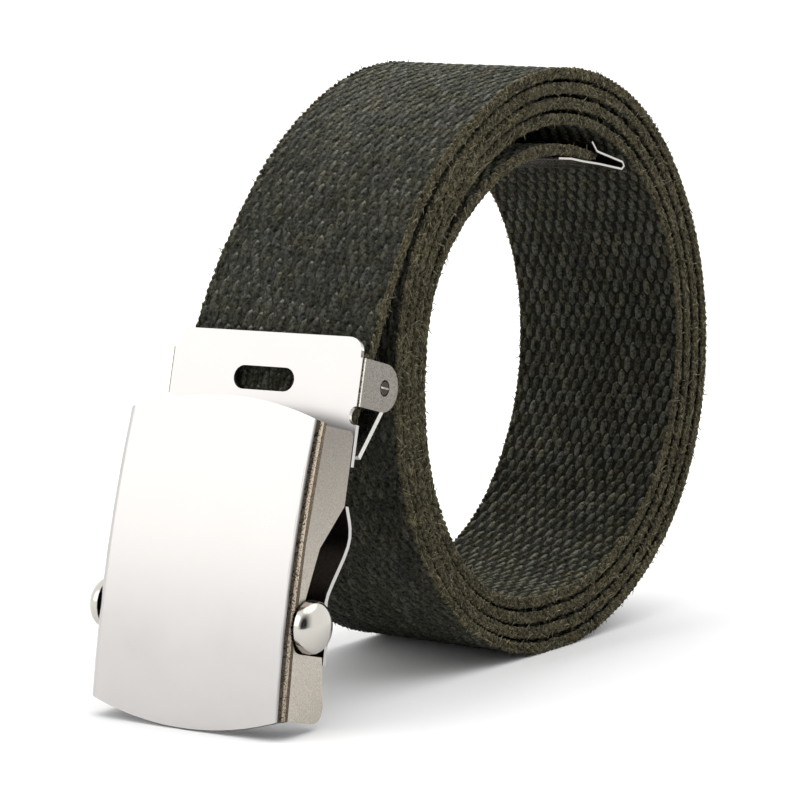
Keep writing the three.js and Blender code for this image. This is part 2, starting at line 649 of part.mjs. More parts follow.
function buckle() {
  const group = new THREE.Group();
  group.add(faceFrame(), backPlate(), rollerBar(), knob('knob_right', 1), knob('knob_left', -1), clampFlap());
  group.position.copy(bucklePosition());
  group.rotation.copy(buckleRotation);
  return group;
}

function belt() {
  const assembly = new THREE.Group();
  assembly.add(webbingStrap(), strapTip(), buckle());
  const box = new THREE.Box3().setFromObject(assembly, true);
  const centre = box.getCenter(new THREE.Vector3());
  assembly.position.set(-centre.x, -centre.y, -box.min.z);
  const group = new THREE.Group();
  group.add(assembly);
  return group;
}

export default belt();
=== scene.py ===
"""Dresses a rolled-up canvas web belt: woven webbing, a nickel roller buckle and a folded metal tip.

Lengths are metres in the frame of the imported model: +Z up, +X across the webbing, -Y in front.
"""
import json
import logging
import math
from dataclasses import dataclass, fields
from enum import Enum
from typing import Any, Callable, Iterable, Sequence

import bmesh
import bpy
import numpy as np
from mathutils import Matrix, Vector


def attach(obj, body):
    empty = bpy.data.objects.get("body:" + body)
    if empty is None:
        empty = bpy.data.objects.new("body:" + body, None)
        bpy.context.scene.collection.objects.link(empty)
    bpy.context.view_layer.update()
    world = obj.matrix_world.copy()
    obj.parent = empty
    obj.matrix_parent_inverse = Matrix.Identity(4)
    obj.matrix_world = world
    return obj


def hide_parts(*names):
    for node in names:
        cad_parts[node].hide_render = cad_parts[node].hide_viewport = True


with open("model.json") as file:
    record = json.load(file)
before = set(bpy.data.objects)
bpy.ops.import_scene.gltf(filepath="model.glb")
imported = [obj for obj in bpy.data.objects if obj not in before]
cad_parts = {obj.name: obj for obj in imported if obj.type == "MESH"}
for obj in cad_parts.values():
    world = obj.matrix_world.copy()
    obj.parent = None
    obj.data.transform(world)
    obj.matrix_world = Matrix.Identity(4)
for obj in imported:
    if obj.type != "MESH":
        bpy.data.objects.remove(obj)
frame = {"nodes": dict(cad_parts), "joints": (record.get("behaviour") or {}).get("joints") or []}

Node = bpy.types.Node
Socket = bpy.types.NodeSocket
Tree = bpy.types.NodeTree
Material = bpy.types.Material
Piece = bpy.types.Object
Colour = tuple[float, float, float]

LOG = logging.getLogger("belt")
MM = 0.001
BODY = "belt"
COLOUR = "NodeSocketColor"
NUMBER = "NodeSocketFloat"


class Slot(Enum):
    """The record's material slots."""

    WEBBING = "webbing"
    FACE = "nickel_face"
    BRIGHT = "nickel_bright"


class Side(Enum):
    """Which face of the webbing, as the sign of its outward direction."""

    OUTER = 1.0
    INNER = -1.0


class Draw(Enum):
    """What a random value is drawn for, as a step that is added to the strands' seed."""

    STEP = 1.0
    PLACE = 2.0
    SLANT = 3.0
    SIZE = 4.0
    TONE = 5.0


class Board:
    """A node tree with short calls that add a node, feed its inputs and give back its output."""

    def __init__(self, tree: Tree) -> None:
        """Keeps the tree to draw on."""
        self.tree = tree

    def feed(self, socket: Socket, value: Any) -> None:
        """Links a socket to an input, or sets the input's own value."""
        if isinstance(value, Socket):
            self.tree.links.new(value, socket)
        else:
            socket.default_value = value

    def node(self, kind: str, inputs: dict[Any, Any] | None = None, **settings: Any) -> Node:
        """Adds a node.

        Args:
            kind: the node's type name.
            inputs: values or sockets for its inputs, by name or place.
            settings: the node's own properties.

        Returns:
            The new node.
        """
        made = self.tree.nodes.new(kind)
        for name, value in settings.items():
            setattr(made, name, value)
        for key, value in (inputs or {}).items():
            self.feed(self.input_of(made, key), value)
        return made

    @staticmethod
    def input_of(node: Node, key: str | int) -> Socket:
        """The input in use with that name or place, where one name stands for several types."""
        if isinstance(key, int):
            return node.inputs[key]
        return next(s for s in node.inputs if s.name == key and s.enabled)

    @staticmethod
    def output_of(node: Node, key: str) -> Socket:
        """The output in use with that name."""
        return next(s for s in node.outputs if s.name == key and s.enabled)

    def math(self, operation: str, *values: Any) -> Socket:
        """A Math node's result for up to three values."""
        return self.node("ShaderNodeMath", dict(enumerate(values)), operation=operation).outputs[0]

    def plus(self, a: Any, b: Any) -> Socket:
        """The sum of two values."""
        return self.math("ADD", a, b)

    def minus(self, a: Any, b: Any) -> Socket:
        """One value less another."""
        return self.math("SUBTRACT", a, b)

    def times(self, a: Any, b: Any) -> Socket:
        """The product of two values."""
        return self.math("MULTIPLY", a, b)

    def over(self, a: Any, b: Any) -> Socket:
        """One value divided by another."""
        return self.math("DIVIDE", a, b)

    def vector(self, operation: str, *values: Any, output: str = "Vector") -> Socket:
        """A Vector Math node's result for up to three vectors."""
        made = self.node("ShaderNodeVectorMath", dict(enumerate(values)), operation=operation)
        return made.outputs[output]

    def scaled(self, vector: Any, factor: Any) -> Socket:
        """A vector times a factor."""
        inputs = {0: vector, "Scale": factor}
        return self.node("ShaderNodeVectorMath", inputs, operation="SCALE").outputs["Vector"]

    def height(self, vector: Any) -> Socket:
        """A vector's height."""
        return self.node("ShaderNodeSeparateXYZ", {"Vector": vector}).outputs["Z"]

    def random(self, low: float, high: float, seed: Any) -> Socket:
        """A random value for each element, from low to high, with a fixed seed."""
        inputs = {"Min": low, "Max": high, "Seed": seed}
        return self.output_of(self.node("FunctionNodeRandomValue", inputs, data_type="FLOAT"), "Value")

    def noise(self, place: Any, scale: Any, detail: float, roughness: float) -> Socket:
        """Cloudy noise."""
        inputs = {"Vector": place, "Scale": scale, "Detail": detail, "Roughness": roughness}
        return self.node("ShaderNodeTexNoise", inputs).outputs["Fac"]

    def mix(self, factor: Any, a: Any, b: Any, blend: str = "MIX") -> Socket:
        """Two colours mixed by a factor."""
        inputs = {"Factor": factor, "A": a, "B": b}
        made = self.node("ShaderNodeMix", inputs, data_type="RGBA", blend_type=blend)
        return self.output_of(made, "Result")

    def lit(self, colour: Any, light: Any) -> Socket:
        """A colour made lighter or darker by a factor."""
        inputs = {"Red": light, "Green": light, "Blue": light}
        grey = self.node("ShaderNodeCombineColor", inputs).outputs["Color"]
        return self.mix(1.0, colour, grey, "MULTIPLY")

    def remap(self, value: Any, low: float, high: float, to_low: Any, to_high: Any) -> Socket:
        """A value moved from one range to another, held at its ends."""
        inputs = {"Value": value, "From Min": low, "From Max": high, "To Min": to_low, "To Max": to_high}
        return self.node("ShaderNodeMapRange", inputs).outputs["Result"]

    def read(self, name: str, kind: str) -> Socket:
        """The value of a named attribute."""
        made = self.node("GeometryNodeInputNamedAttribute", {"Name": name}, data_type=kind)
        return self.output_of(made, "Attribute")

    def store(self, geometry: Socket, name: str, value: Any, kind: str, domain: str = "POINT") -> Socket:
        """The geometry with a value stored as a named attribute."""
        inputs = {"Geometry": geometry, "Name": name, "Value": value}
        made = self.node("GeometryNodeStoreNamedAttribute", inputs, data_type=kind, domain=domain)
        return made.outputs["Geometry"]


def rgba(colour: Sequence[float]) -> tuple[float, float, float, float]:
    """A colour with full opacity."""
    return (*colour, 1.0)


def shader_group(name: str, inputs: dict[str, tuple[str, Any]], outputs: dict[str, str]) -> tuple:
    """An empty shader node group with named sockets.

    Args:
        name: the group's name.
        inputs: socket name to its type and first value.
        outputs: socket name to its type.

    Returns:
        The group's tree, its board, the values given to it and the sockets of its result.
    """
    tree = bpy.data.node_groups.new(name, "ShaderNodeTree")
    for label, (kind, value) in inputs.items():
        tree.interface.new_socket(name=label, in_out="INPUT", socket_type=kind).default_value = value
    for label, kind in outputs.items():
        tree.interface.new_socket(name=label, in_out="OUTPUT", socket_type=kind)
    board = Board(tree)
    return tree, board, board.node("NodeGroupInput").outputs, board.node("NodeGroupOutput").inputs


class CottonGroup:
    """Fibres, stains and mottling of cotton yarn, and painted light that makes the faces that look up
    lighter. Scales are cells a metre.

    A range is what a pattern's values from low to high are moved to.
    """

    INPUTS = {
        "Yarn": (COLOUR, rgba((0.1, 0.1, 0.08))),
        "Olive": (COLOUR, rgba((0.1, 0.1, 0.05))),
        "Faded": (COLOUR, rgba((0.2, 0.18, 0.13))),
        "Fade": (NUMBER, 0.0),
        "Tone": (NUMBER, 0.5),
        "Fibre Scale": (NUMBER, 1500.0),
        # Painted light: how much lighter the faces that look up are made
        "Painted Upward Light": (NUMBER, 1.6),
    }
    OUTPUTS = {"Color": COLOUR, "Height": NUMBER}
    FIBRE_NOISE = (3.0, 0.75)
    MOTTLE_NOISE = (420.0, 2.0, 0.6)
    PATCH_NOISE = (60.0, 4.0, 0.6)
    HUE_NOISE = (230.0, 4.0, 0.6)
    FIBRE_RANGE = (0.34, 0.68, 0.15, 1.95)
    MOTTLE_RANGE = (0.5, 0.78, 0.0, 0.4)
    PATCH_RANGE = (0.3, 0.7, 0.84, 1.16)
    HUE_RANGE = (0.35, 0.68, 0.0, 1.0)
    TONE_RANGE = (0.0, 1.0, 0.7, 1.3)
    UPWARD_RANGE = (0.66, 1.0, 0.0, 1.0)

    def build(self) -> Tree:
        """Draws the group, which puts out a colour and a bump height."""
        tree, board, given, result = shader_group("cotton", self.INPUTS, self.OUTPUTS)
        place = board.node("ShaderNodeTexCoord").outputs["Object"]
        fibre = board.noise(place, given["Fibre Scale"], *self.FIBRE_NOISE)
        mottle = board.remap(board.noise(place, *self.MOTTLE_NOISE), *self.MOTTLE_RANGE)
        patch = board.remap(board.noise(place, *self.PATCH_NOISE), *self.PATCH_RANGE)
        hue = board.remap(board.noise(place, *self.HUE_NOISE), *self.HUE_RANGE)
        worn = board.math("MINIMUM", board.plus(given["Fade"], mottle), 1.0)
        colour = board.mix(worn, board.mix(hue, given["Yarn"], given["Olive"]), given["Faded"])
        tone = board.remap(given["Tone"], *self.TONE_RANGE)
        light = board.times(tone, board.remap(fibre, *self.FIBRE_RANGE))
        # Painted light: faces that look up are made lighter, as if lit from above
        upward = board.height(board.node("ShaderNodeNewGeometry").outputs["Normal"])
        painted_upward_light = board.times(board.remap(upward, *self.UPWARD_RANGE), given["Painted Upward Light"])
        light = board.times(board.times(light, patch), board.plus(1.0, painted_upward_light))
        board.feed(result["Color"], board.lit(colour, light))
        board.feed(result["Height"], fibre)
        return tree


class PlatedGroup:
    """Fine grain and faint clouding of nickel plate, with painted light and shade that make it brighter or
    darker towards its top.
    """

    INPUTS = {
        "Plate": (COLOUR, rgba((0.8, 0.8, 0.8))),
        "Roughness": (NUMBER, 0.3),
        "Grain Scale": (NUMBER, 3000.0),
        "Speckle": (NUMBER, 0.1),
        # Painted light and shade: how bright the plate is at its top against its foot
        "Top Share": (NUMBER, 1.0),
    }
    OUTPUTS = {"Color": COLOUR, "Roughness": NUMBER, "Height": NUMBER}
    GRAIN_NOISE = (2.0, 0.7)
    CLOUD_NOISE = (90.0, 3.0, 0.5)
    CLOUD_LIGHT = (0.3, 0.7, 0.97, 1.03)
    CLOUD_ROUGHNESS = (0.3, 0.7, -0.03, 0.03)
    FOOT_AND_TOP = (15 * MM, 50 * MM)
    BRIGHTEST = 1.9
    GRAIN_LIGHT = 2.0
    GRAIN_ROUGHNESS = 0.8

    def build(self) -> Tree:
        """Draws the group, which puts out a colour, a roughness and a bump height."""
        tree, board, given, result = shader_group("plated", self.INPUTS, self.OUTPUTS)
        place = board.node("ShaderNodeTexCoord").outputs["Object"]
        grain = board.noise(place, given["Grain Scale"], *self.GRAIN_NOISE)
        cloud = board.noise(place, *self.CLOUD_NOISE)
        swing = board.times(board.minus(grain, 0.5), given["Speckle"])
        light = board.plus(1.0, board.times(swing, self.GRAIN_LIGHT))
        light = board.times(light, board.remap(cloud, *self.CLOUD_LIGHT))
        # Painted light and shade that grows from the foot to the top
        share = board.remap(board.height(place), *self.FOOT_AND_TOP, 1.0, given["Top Share"])
        light = board.math("MINIMUM", board.math("MAXIMUM", board.times(light, share), 0.0), self.BRIGHTEST)
        board.feed(result["Color"], board.lit(given["Plate"], light))
        rough = board.plus(given["Roughness"], board.times(swing, self.GRAIN_ROUGHNESS))
        board.feed(result["Roughness"], board.plus(rough, board.remap(cloud, *self.CLOUD_ROUGHNESS)))
        board.feed(result["Height"], grain)
        return tree


def patterned(name: str, group: Tree, inputs: dict[str, Any], bump: float, depth: float) -> tuple:
    """A material whose colour and bump come from a shared group.

    Args:
        name: the material's name.
        group: the shared group.
        inputs: the group's values for this material.
        bump: how strongly its relief shows.
        depth: how deep the relief is.

    Returns:
        The material, its board, its surface shader's inputs and the group's node.
    """
    material = bpy.data.materials.new(name)
    material.use_nodes = True
    board = Board(material.node_tree)
    pattern = board.node("ShaderNodeGroup", inputs, node_tree=group)
    relief = {"Strength": bump, "Distance": depth, "Height": pattern.outputs["Height"]}
    surface = material.node_tree.nodes["Principled BSDF"].inputs
    board.feed(surface["Base Color"], pattern.outputs["Color"])
    board.feed(surface["Normal"], board.node("ShaderNodeBump", relief).outputs["Normal"])
    return material, board, surface, pattern


@dataclass(frozen=True)
class CottonFinish:
    """Cotton yarn.

    Attributes:
        name: the material's name.
        yarn: colour of clean yarn.
        olive: colour of the yarn's greener patches.
        faded: colour of worn yarn and loose fibres.
        fade: how far the whole piece has faded, from 0 to 1.
        bump: how strongly the fibres show.
        bump_depth: how deep they are.
        roughness: how matt the yarn is.
        gloss: how much light it mirrors.
        sheen: how much light the loose fibres catch.
        sheen_roughness: how widely they scatter it.
    """

    name: str
    yarn: Colour
    olive: Colour
    faded: Colour
    fade: float
    bump: float = 0.9
    bump_depth: float = 0.45 * MM
    roughness: float = 0.95
    gloss: float = 0.02
    sheen: float = 0.015
    sheen_roughness: float = 0.6

    def build(self, cotton: Tree) -> Material:
        """Makes the material from the shared cotton group."""
        inputs = {"Yarn": rgba(self.yarn), "Olive": rgba(self.olive), "Faded": rgba(self.faded)}
        inputs["Fade"] = self.fade
        material, board, surface, pattern = patterned(self.name, cotton, inputs, self.bump, self.bump_depth)
        tone = board.node("ShaderNodeAttribute", attribute_name="tone").outputs["Fac"]
        board.feed(pattern.inputs["Tone"], tone)
        for key, value in (
            ("Roughness", self.roughness), ("Specular IOR Level", self.gloss),
            ("Sheen Weight", self.sheen), ("Sheen Roughness", self.sheen_roughness),
        ):
            surface[key].default_value = value
        return material


@dataclass(frozen=True)
class PlatedFinish:
    """Nickel plate.

    Attributes:
        name: the material's name.
        plate: colour of the plate.
        roughness: how satin it is.
        speckle: how strongly its grain shows.
        grain: how fine the grain is, in cells a metre.
        bump: how strongly the grain's relief shows.
        top_share: painted light and shade, how bright the plate is at the buckle's top, against its foot.
        bump_depth: how deep the relief is.
    """

    name: str
    plate: Colour
    roughness: float
    speckle: float
    grain: float
    bump: float
    top_share: float = 1.0
    bump_depth: float = 0.05 * MM

    def build(self, plated: Tree) -> Material:
        """Makes the material from the shared plate group."""
        inputs = {"Plate": rgba(self.plate), "Roughness": self.roughness, "Grain Scale": self.grain}
        inputs |= {"Speckle": self.speckle, "Top Share": self.top_share}
        material, board, surface, pattern = patterned(self.name, plated, inputs, self.bump, self.bump_depth)
        board.feed(surface["Roughness"], pattern.outputs["Roughness"])
        surface["Metallic"].default_value = 1.0
        return material


def materials_of(kind: type, label: str, table: dict[str, tuple], group: Tree) -> dict[str, Material]:
    """The materials of a table of finishes.

    Args:
        kind: the finishes' class.
        label: a material's name, with braces where the finish's name stands.
        table: a finish's name to the values of its fields.
        group: the shared group.

    Returns:
        The materials by the finishes' names.
    """
    return {name: kind(label.format(name), *row).build(group) for name, row in table.items()}


@dataclass
class BuckleFrame:
    """The buckle's own axes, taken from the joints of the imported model.

    Attributes:
        across: along the clamp's pin.
        back: away from the face, towards the coil.
        up: along the buckle's height.
        origin: the middle of the face's inner side.
        pivot_back: how far back the pin lies.
        pivot_up: how far up the pin lies.
        rise: how far the roller's way leans back from the buckle's height.
    """

    across: Vector
    back: Vector
    up: Vector
    origin: Vector
    pivot_back: float = 18.3 * MM
    pivot_up: float = 34.3 * MM
    rise: float = math.radians(14.4)

    @classmethod
    def from_joints(cls, joints: Iterable[dict]) -> "BuckleFrame":
        """Works the axes out from the clamp's hinge and the roller's slide."""
        by_name = {joint["name"]: joint for joint in joints}
        across = Vector(by_name["flap_hinge"]["axis"]).normalized()
        lift = Vector(by_name["roller_slide"]["axis"]).normalized()
        square = -across.cross(lift)
        back = lift * math.sin(cls.rise) + square * math.cos(cls.rise)
        up = lift * math.cos(cls.rise) - square * math.sin(cls.rise)
        pivot = Vector(by_name["flap_hinge"]["pos_m"])
        return cls(across, back, up, pivot - back * cls.pivot_back - up * cls.pivot_up)

    def place(self, u: float, d: float, v: float) -> Vector:
        """The point that lies u across, d back and v up."""
        return self.origin + self.across * u + self.back * d + self.up * v


@dataclass
class StrapPath:
    """The webbing's middle line: from under the clamp, up the free run and round the coil.

    Its sizes are those of the solid webbing. Lengths are metres and angles degrees, and an angle is
    counted from the front of the coil over its top.
    """

    width: float = 38 * MM
    thickness: float = 2.1 * MM
    crimped: float = 1.2 * MM
    crimp_length: float = 5.5 * MM
    coil_radius: float = 56 * MM
    centre: tuple[float, float] = (-0.51223 * MM, 16.92137 * MM)
    lift: float = 0.00872 * MM
    rest_flattening: float = 0.25 * MM
    rest_angle: float = 270.0
    least_slope: float = 0.5
    spiral_start: float = 50.0
    spiral_end: float = 1544.0
    knot_step: float = 30.0
    level_length: float = 24.0
    lean_ease: float = 36.0
    tail_up: float = 20.6 * MM
    run_up: float = 25 * MM
    strap_back: float = 13.0 * MM
    leaving_share: float = 0.15
    landing_share: float = 0.35
    yaw: float = 3.7
    twist: float = 8.0
    run_steps: int = 60
    turn_step: float = 1.5
    heading_step: float = 0.05
    sample_step: float = 0.5 * MM
    # Outside radius of the first turn at each knot, as a share of coil_radius
    first_turn: tuple = (
        0.975, 0.998, 0.997, 1.03, 1.034, 1.005, 0.995, 0.993, 0.991, 0.984, 0.968, 0.929, 0.896)
    # How far the width leans inwards at its +X edge at each knot, in degrees, for every turn
    leans: tuple = (0, 3, 3.5, 2, -2, -3.5, -3, -2.5, 0, 0, 0, 0)
    # Air outside each later turn at each later knot, as shares of the thickness
    airs: tuple = (
        (0.86, 0.38, 0.33, 0.38, 0.36, 0.52, 0.52, 0.48, 0.52, 0.14, 0.14, 0.12),
        (0.14, 0.14, 0.38, 0.52, 0.36, 0.5, 0.52, 0.48, 0.52, 0.14, 0.12, 0.12),
        (0.14, 0.14, 0.38, 0.52, 0.38, 0.5, 0.52, 0.48, 0.48, 0.19, 0.12, 0.14),
        (0.24, 1.29, 2, 1.67, 1.67, 1.67, 1.67, 1.67, 1.67, 1.67, 1.67, 1.67),
    )

    def __post_init__(self) -> None:
        """Works out the knots of all turns, and how high the coil's middle stands."""
        self.knots = [self.coil_radius * share for share in self.first_turn]
        for turn in self.airs:
            for air in turn:
                self.knots.append(self.knots[-len(self.leans)] - self.thickness * (1 + air))
        self.middle = self.knots[round(self.rest_angle / self.knot_step)] - self.rest_flattening

    def smooth_value(self, angle: float, values: Sequence[float]) -> float:
        """A value at an angle, on a smooth curve through values that lie knot_step apart."""
        k = math.floor(angle / self.knot_step)
        t = angle / self.knot_step - k
        p0, p1, p2, p3 = (values[n] for n in (k - 1, k, k + 1, k + 2))
        bend = 2 * p0 - 5 * p1 + 4 * p2 - p3
        turn = 3 * p1 - p0 - 3 * p2 + p3
        return 0.5 * (2 * p1 + (p2 - p0) * t + bend * t * t + turn * t ** 3)

    def outer_radius(self, angle: float) -> float:
        """The outside radius at an angle, pressed flat where the coil rests."""
        direction = angle % 360
        below = max(-math.sin(math.radians(direction)), 0.0)
        outermost = direction + (360 if direction < self.spiral_start else 0)
        drop = self.smooth_value(outermost, self.knots) * below - self.middle
        return self.smooth_value(angle, self.knots) - max(drop, 0.0) / max(below, self.least_slope)

    def coil_point(self, angle: float) -> Vector:
        """The webbing's middle at an angle round the coil."""
        radius = self.outer_radius(angle) - self.thickness / 2
        turn = math.radians(angle)
        y = self.centre[1] - radius * math.cos(turn)
        return Vector((self.centre[0], y, self.lift + self.middle + radius * math.sin(turn)))

    def coil_across(self, angle: float) -> Vector:
        """Which way the width points at an angle round the coil."""
        level = min(max((self.spiral_end - self.level_length - angle) / self.lean_ease, 0.0), 1.0)
        lean = math.radians(level * self.smooth_value(angle % 360, self.leans + self.leans))
        turn = math.radians(angle)
        return Vector((math.cos(lean), math.sin(lean) * math.cos(turn), -math.sin(lean) * math.sin(turn)))

    def coil_heading(self, angle: float) -> Vector:
        """The webbing's direction at an angle round the coil."""
        ahead, behind = angle + self.heading_step, angle - self.heading_step
        return (self.coil_point(ahead) - self.coil_point(behind)).normalized()

    def run_across(self, t: float) -> Vector:
        """Which way the width points along the free run, t from 0 at the buckle to 1 at the coil."""
        landed = t * t * (3 - 2 * t)
        twist = self.twist * math.sin(math.pi * t) ** 2 * (1 - t)
        turn = math.radians(self.yaw * (1 - landed) + twist)
        coil = self.coil_across(self.spiral_start) * landed
        return Vector((math.cos(turn), math.sin(turn) + coil.y, coil.z))

    def rough_line(self, buckle: BuckleFrame) -> list[tuple[Vector, Vector, float]]:
        """Points of the middle line with the width's direction and half the thickness at each."""
        half = self.thickness / 2
        leave = buckle.place(0, self.strap_back, self.run_up)
        land = self.coil_point(self.spiral_start)
        span = (land - leave).length
        first = leave + buckle.up * self.leaving_share * span
        second = land - self.coil_heading(self.spiral_start) * self.landing_share * span
        line = [(buckle.place(0, self.strap_back, self.tail_up), self.run_across(0), half)]
        for t in np.linspace(0, 1, self.run_steps, endpoint=False):
            s = 1 - t
            point = leave * s ** 3 + first * 3 * s * s * t + second * 3 * s * t * t + land * t ** 3
            line.append((point, self.run_across(t), half))
        for angle in np.arange(self.spiral_start, self.spiral_end, self.turn_step):
            line.append((self.coil_point(angle), self.coil_across(angle), half))
        end, across = self.coil_point(self.spiral_end), self.coil_across(self.spiral_end)
        tip = end + self.coil_heading(self.spiral_end) * self.crimp_length
        return [*line, (end, across, half), (tip, across, self.crimped / 2)]

    def sample(self, buckle: BuckleFrame) -> "PathSamples":
        """Even samples of the line, with its directions worked out at each."""
        line = self.rough_line(buckle)
        points = np.array([tuple(p) for p, _, _ in line])
        across = np.array([tuple(a) for _, a, _ in line])
        half = np.array([h for _, _, h in line])
        reach = np.concatenate([[0], np.cumsum(np.linalg.norm(np.diff(points, axis=0), axis=1))])
        marks = np.linspace(0, reach[-1], round(reach[-1] / self.sample_step))
        even, wide = (
            np.column_stack([np.interp(marks, reach, column) for column in table.T])
            for table in (points, across)
        )
        heading = np.gradient(even, axis=0)
        heading /= np.linalg.norm(heading, axis=1)[:, None]
        wide -= heading * np.sum(wide * heading, axis=1)[:, None]
        wide /= np.linalg.norm(wide, axis=1)[:, None]
        return PathSamples(marks, even, wide, np.cross(wide, heading), np.interp(marks, reach, half))


@dataclass
class PathSamples:
    """Even samples along the webbing: distance, point, directions and half the thickness."""

    marks: np.ndarray
    points: np.ndarray
    wide: np.ndarray
    outward: np.ndarray
    half: np.ndarray

    @property
    def length(self) -> float:
        """The webbing's whole length."""
        return float(self.marks[-1])

    def guide(self, name: str) -> Piece:
        """A line of edges along the webbing that carries its directions as attributes."""
        mesh = bpy.data.meshes.new(name)
        edges = [(k, k + 1) for k in range(len(self.points) - 1)]
        mesh.from_pydata(self.points.tolist(), edges, [])
        mesh.attributes.new("wide", "FLOAT_VECTOR", "POINT").data.foreach_set("vector", self.wide.ravel())
        mesh.attributes.new("half", "FLOAT", "POINT").data.foreach_set("value", self.half)
        return link(bpy.data.objects.new(name, mesh))


def link(thing: Piece) -> Piece:
    """Puts an object into the scene."""
    bpy.context.scene.collection.objects.link(thing)
    return thing


def mesh_piece(name: str, verts: Iterable, faces: Iterable, material: Material) -> Piece:
    """A smooth mesh object from points and faces."""
    mesh = bpy.data.meshes.new(name)
    mesh.from_pydata([tuple(v) for v in verts], [], [tuple(f) for f in faces])
    mesh.materials.append(material)
    mesh.validate()
    mesh.polygons.foreach_set("use_smooth", [True] * len(mesh.polygons))
    return link(bpy.data.objects.new(name, mesh))


def band_faces(first: int, count: int) -> list[tuple[int, int, int, int]]:
    """The faces between a ring of points, numbered from first, and the ring that follows it."""
    corners = [(first + k, first + (k + 1) % count) for k in range(count)]
    return [(a, b, b + count, a + count) for a, b in corners]


def finish_piece(piece: Piece, body: str, replaces: Sequence[str] = ()) -> None:
    """Rides and reports a finished piece.

    Args:
        piece: the piece.
        body: the body that it moves with.
        replaces: the solids that it stands for.
    """
    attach(piece, body)
    if replaces:
        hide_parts(*replaces)
    faces = sum(len(polygon.vertices) - 2 for polygon in piece.data.polygons)
    LOG.info("%s: %d triangles on %s", piece.name, faces, body)


def settle(piece: Piece) -> Piece:
    """Turns a piece with modifiers into a plain mesh and removes the modifiers."""
    evaluated = piece.evaluated_get(bpy.context.evaluated_depsgraph_get())
    mesh = bpy.data.meshes.new_from_object(evaluated)
    old = piece.data
    piece.modifiers.clear()
    piece.data = mesh
    mesh.name = piece.name
    bpy.data.meshes.remove(old)
    return piece


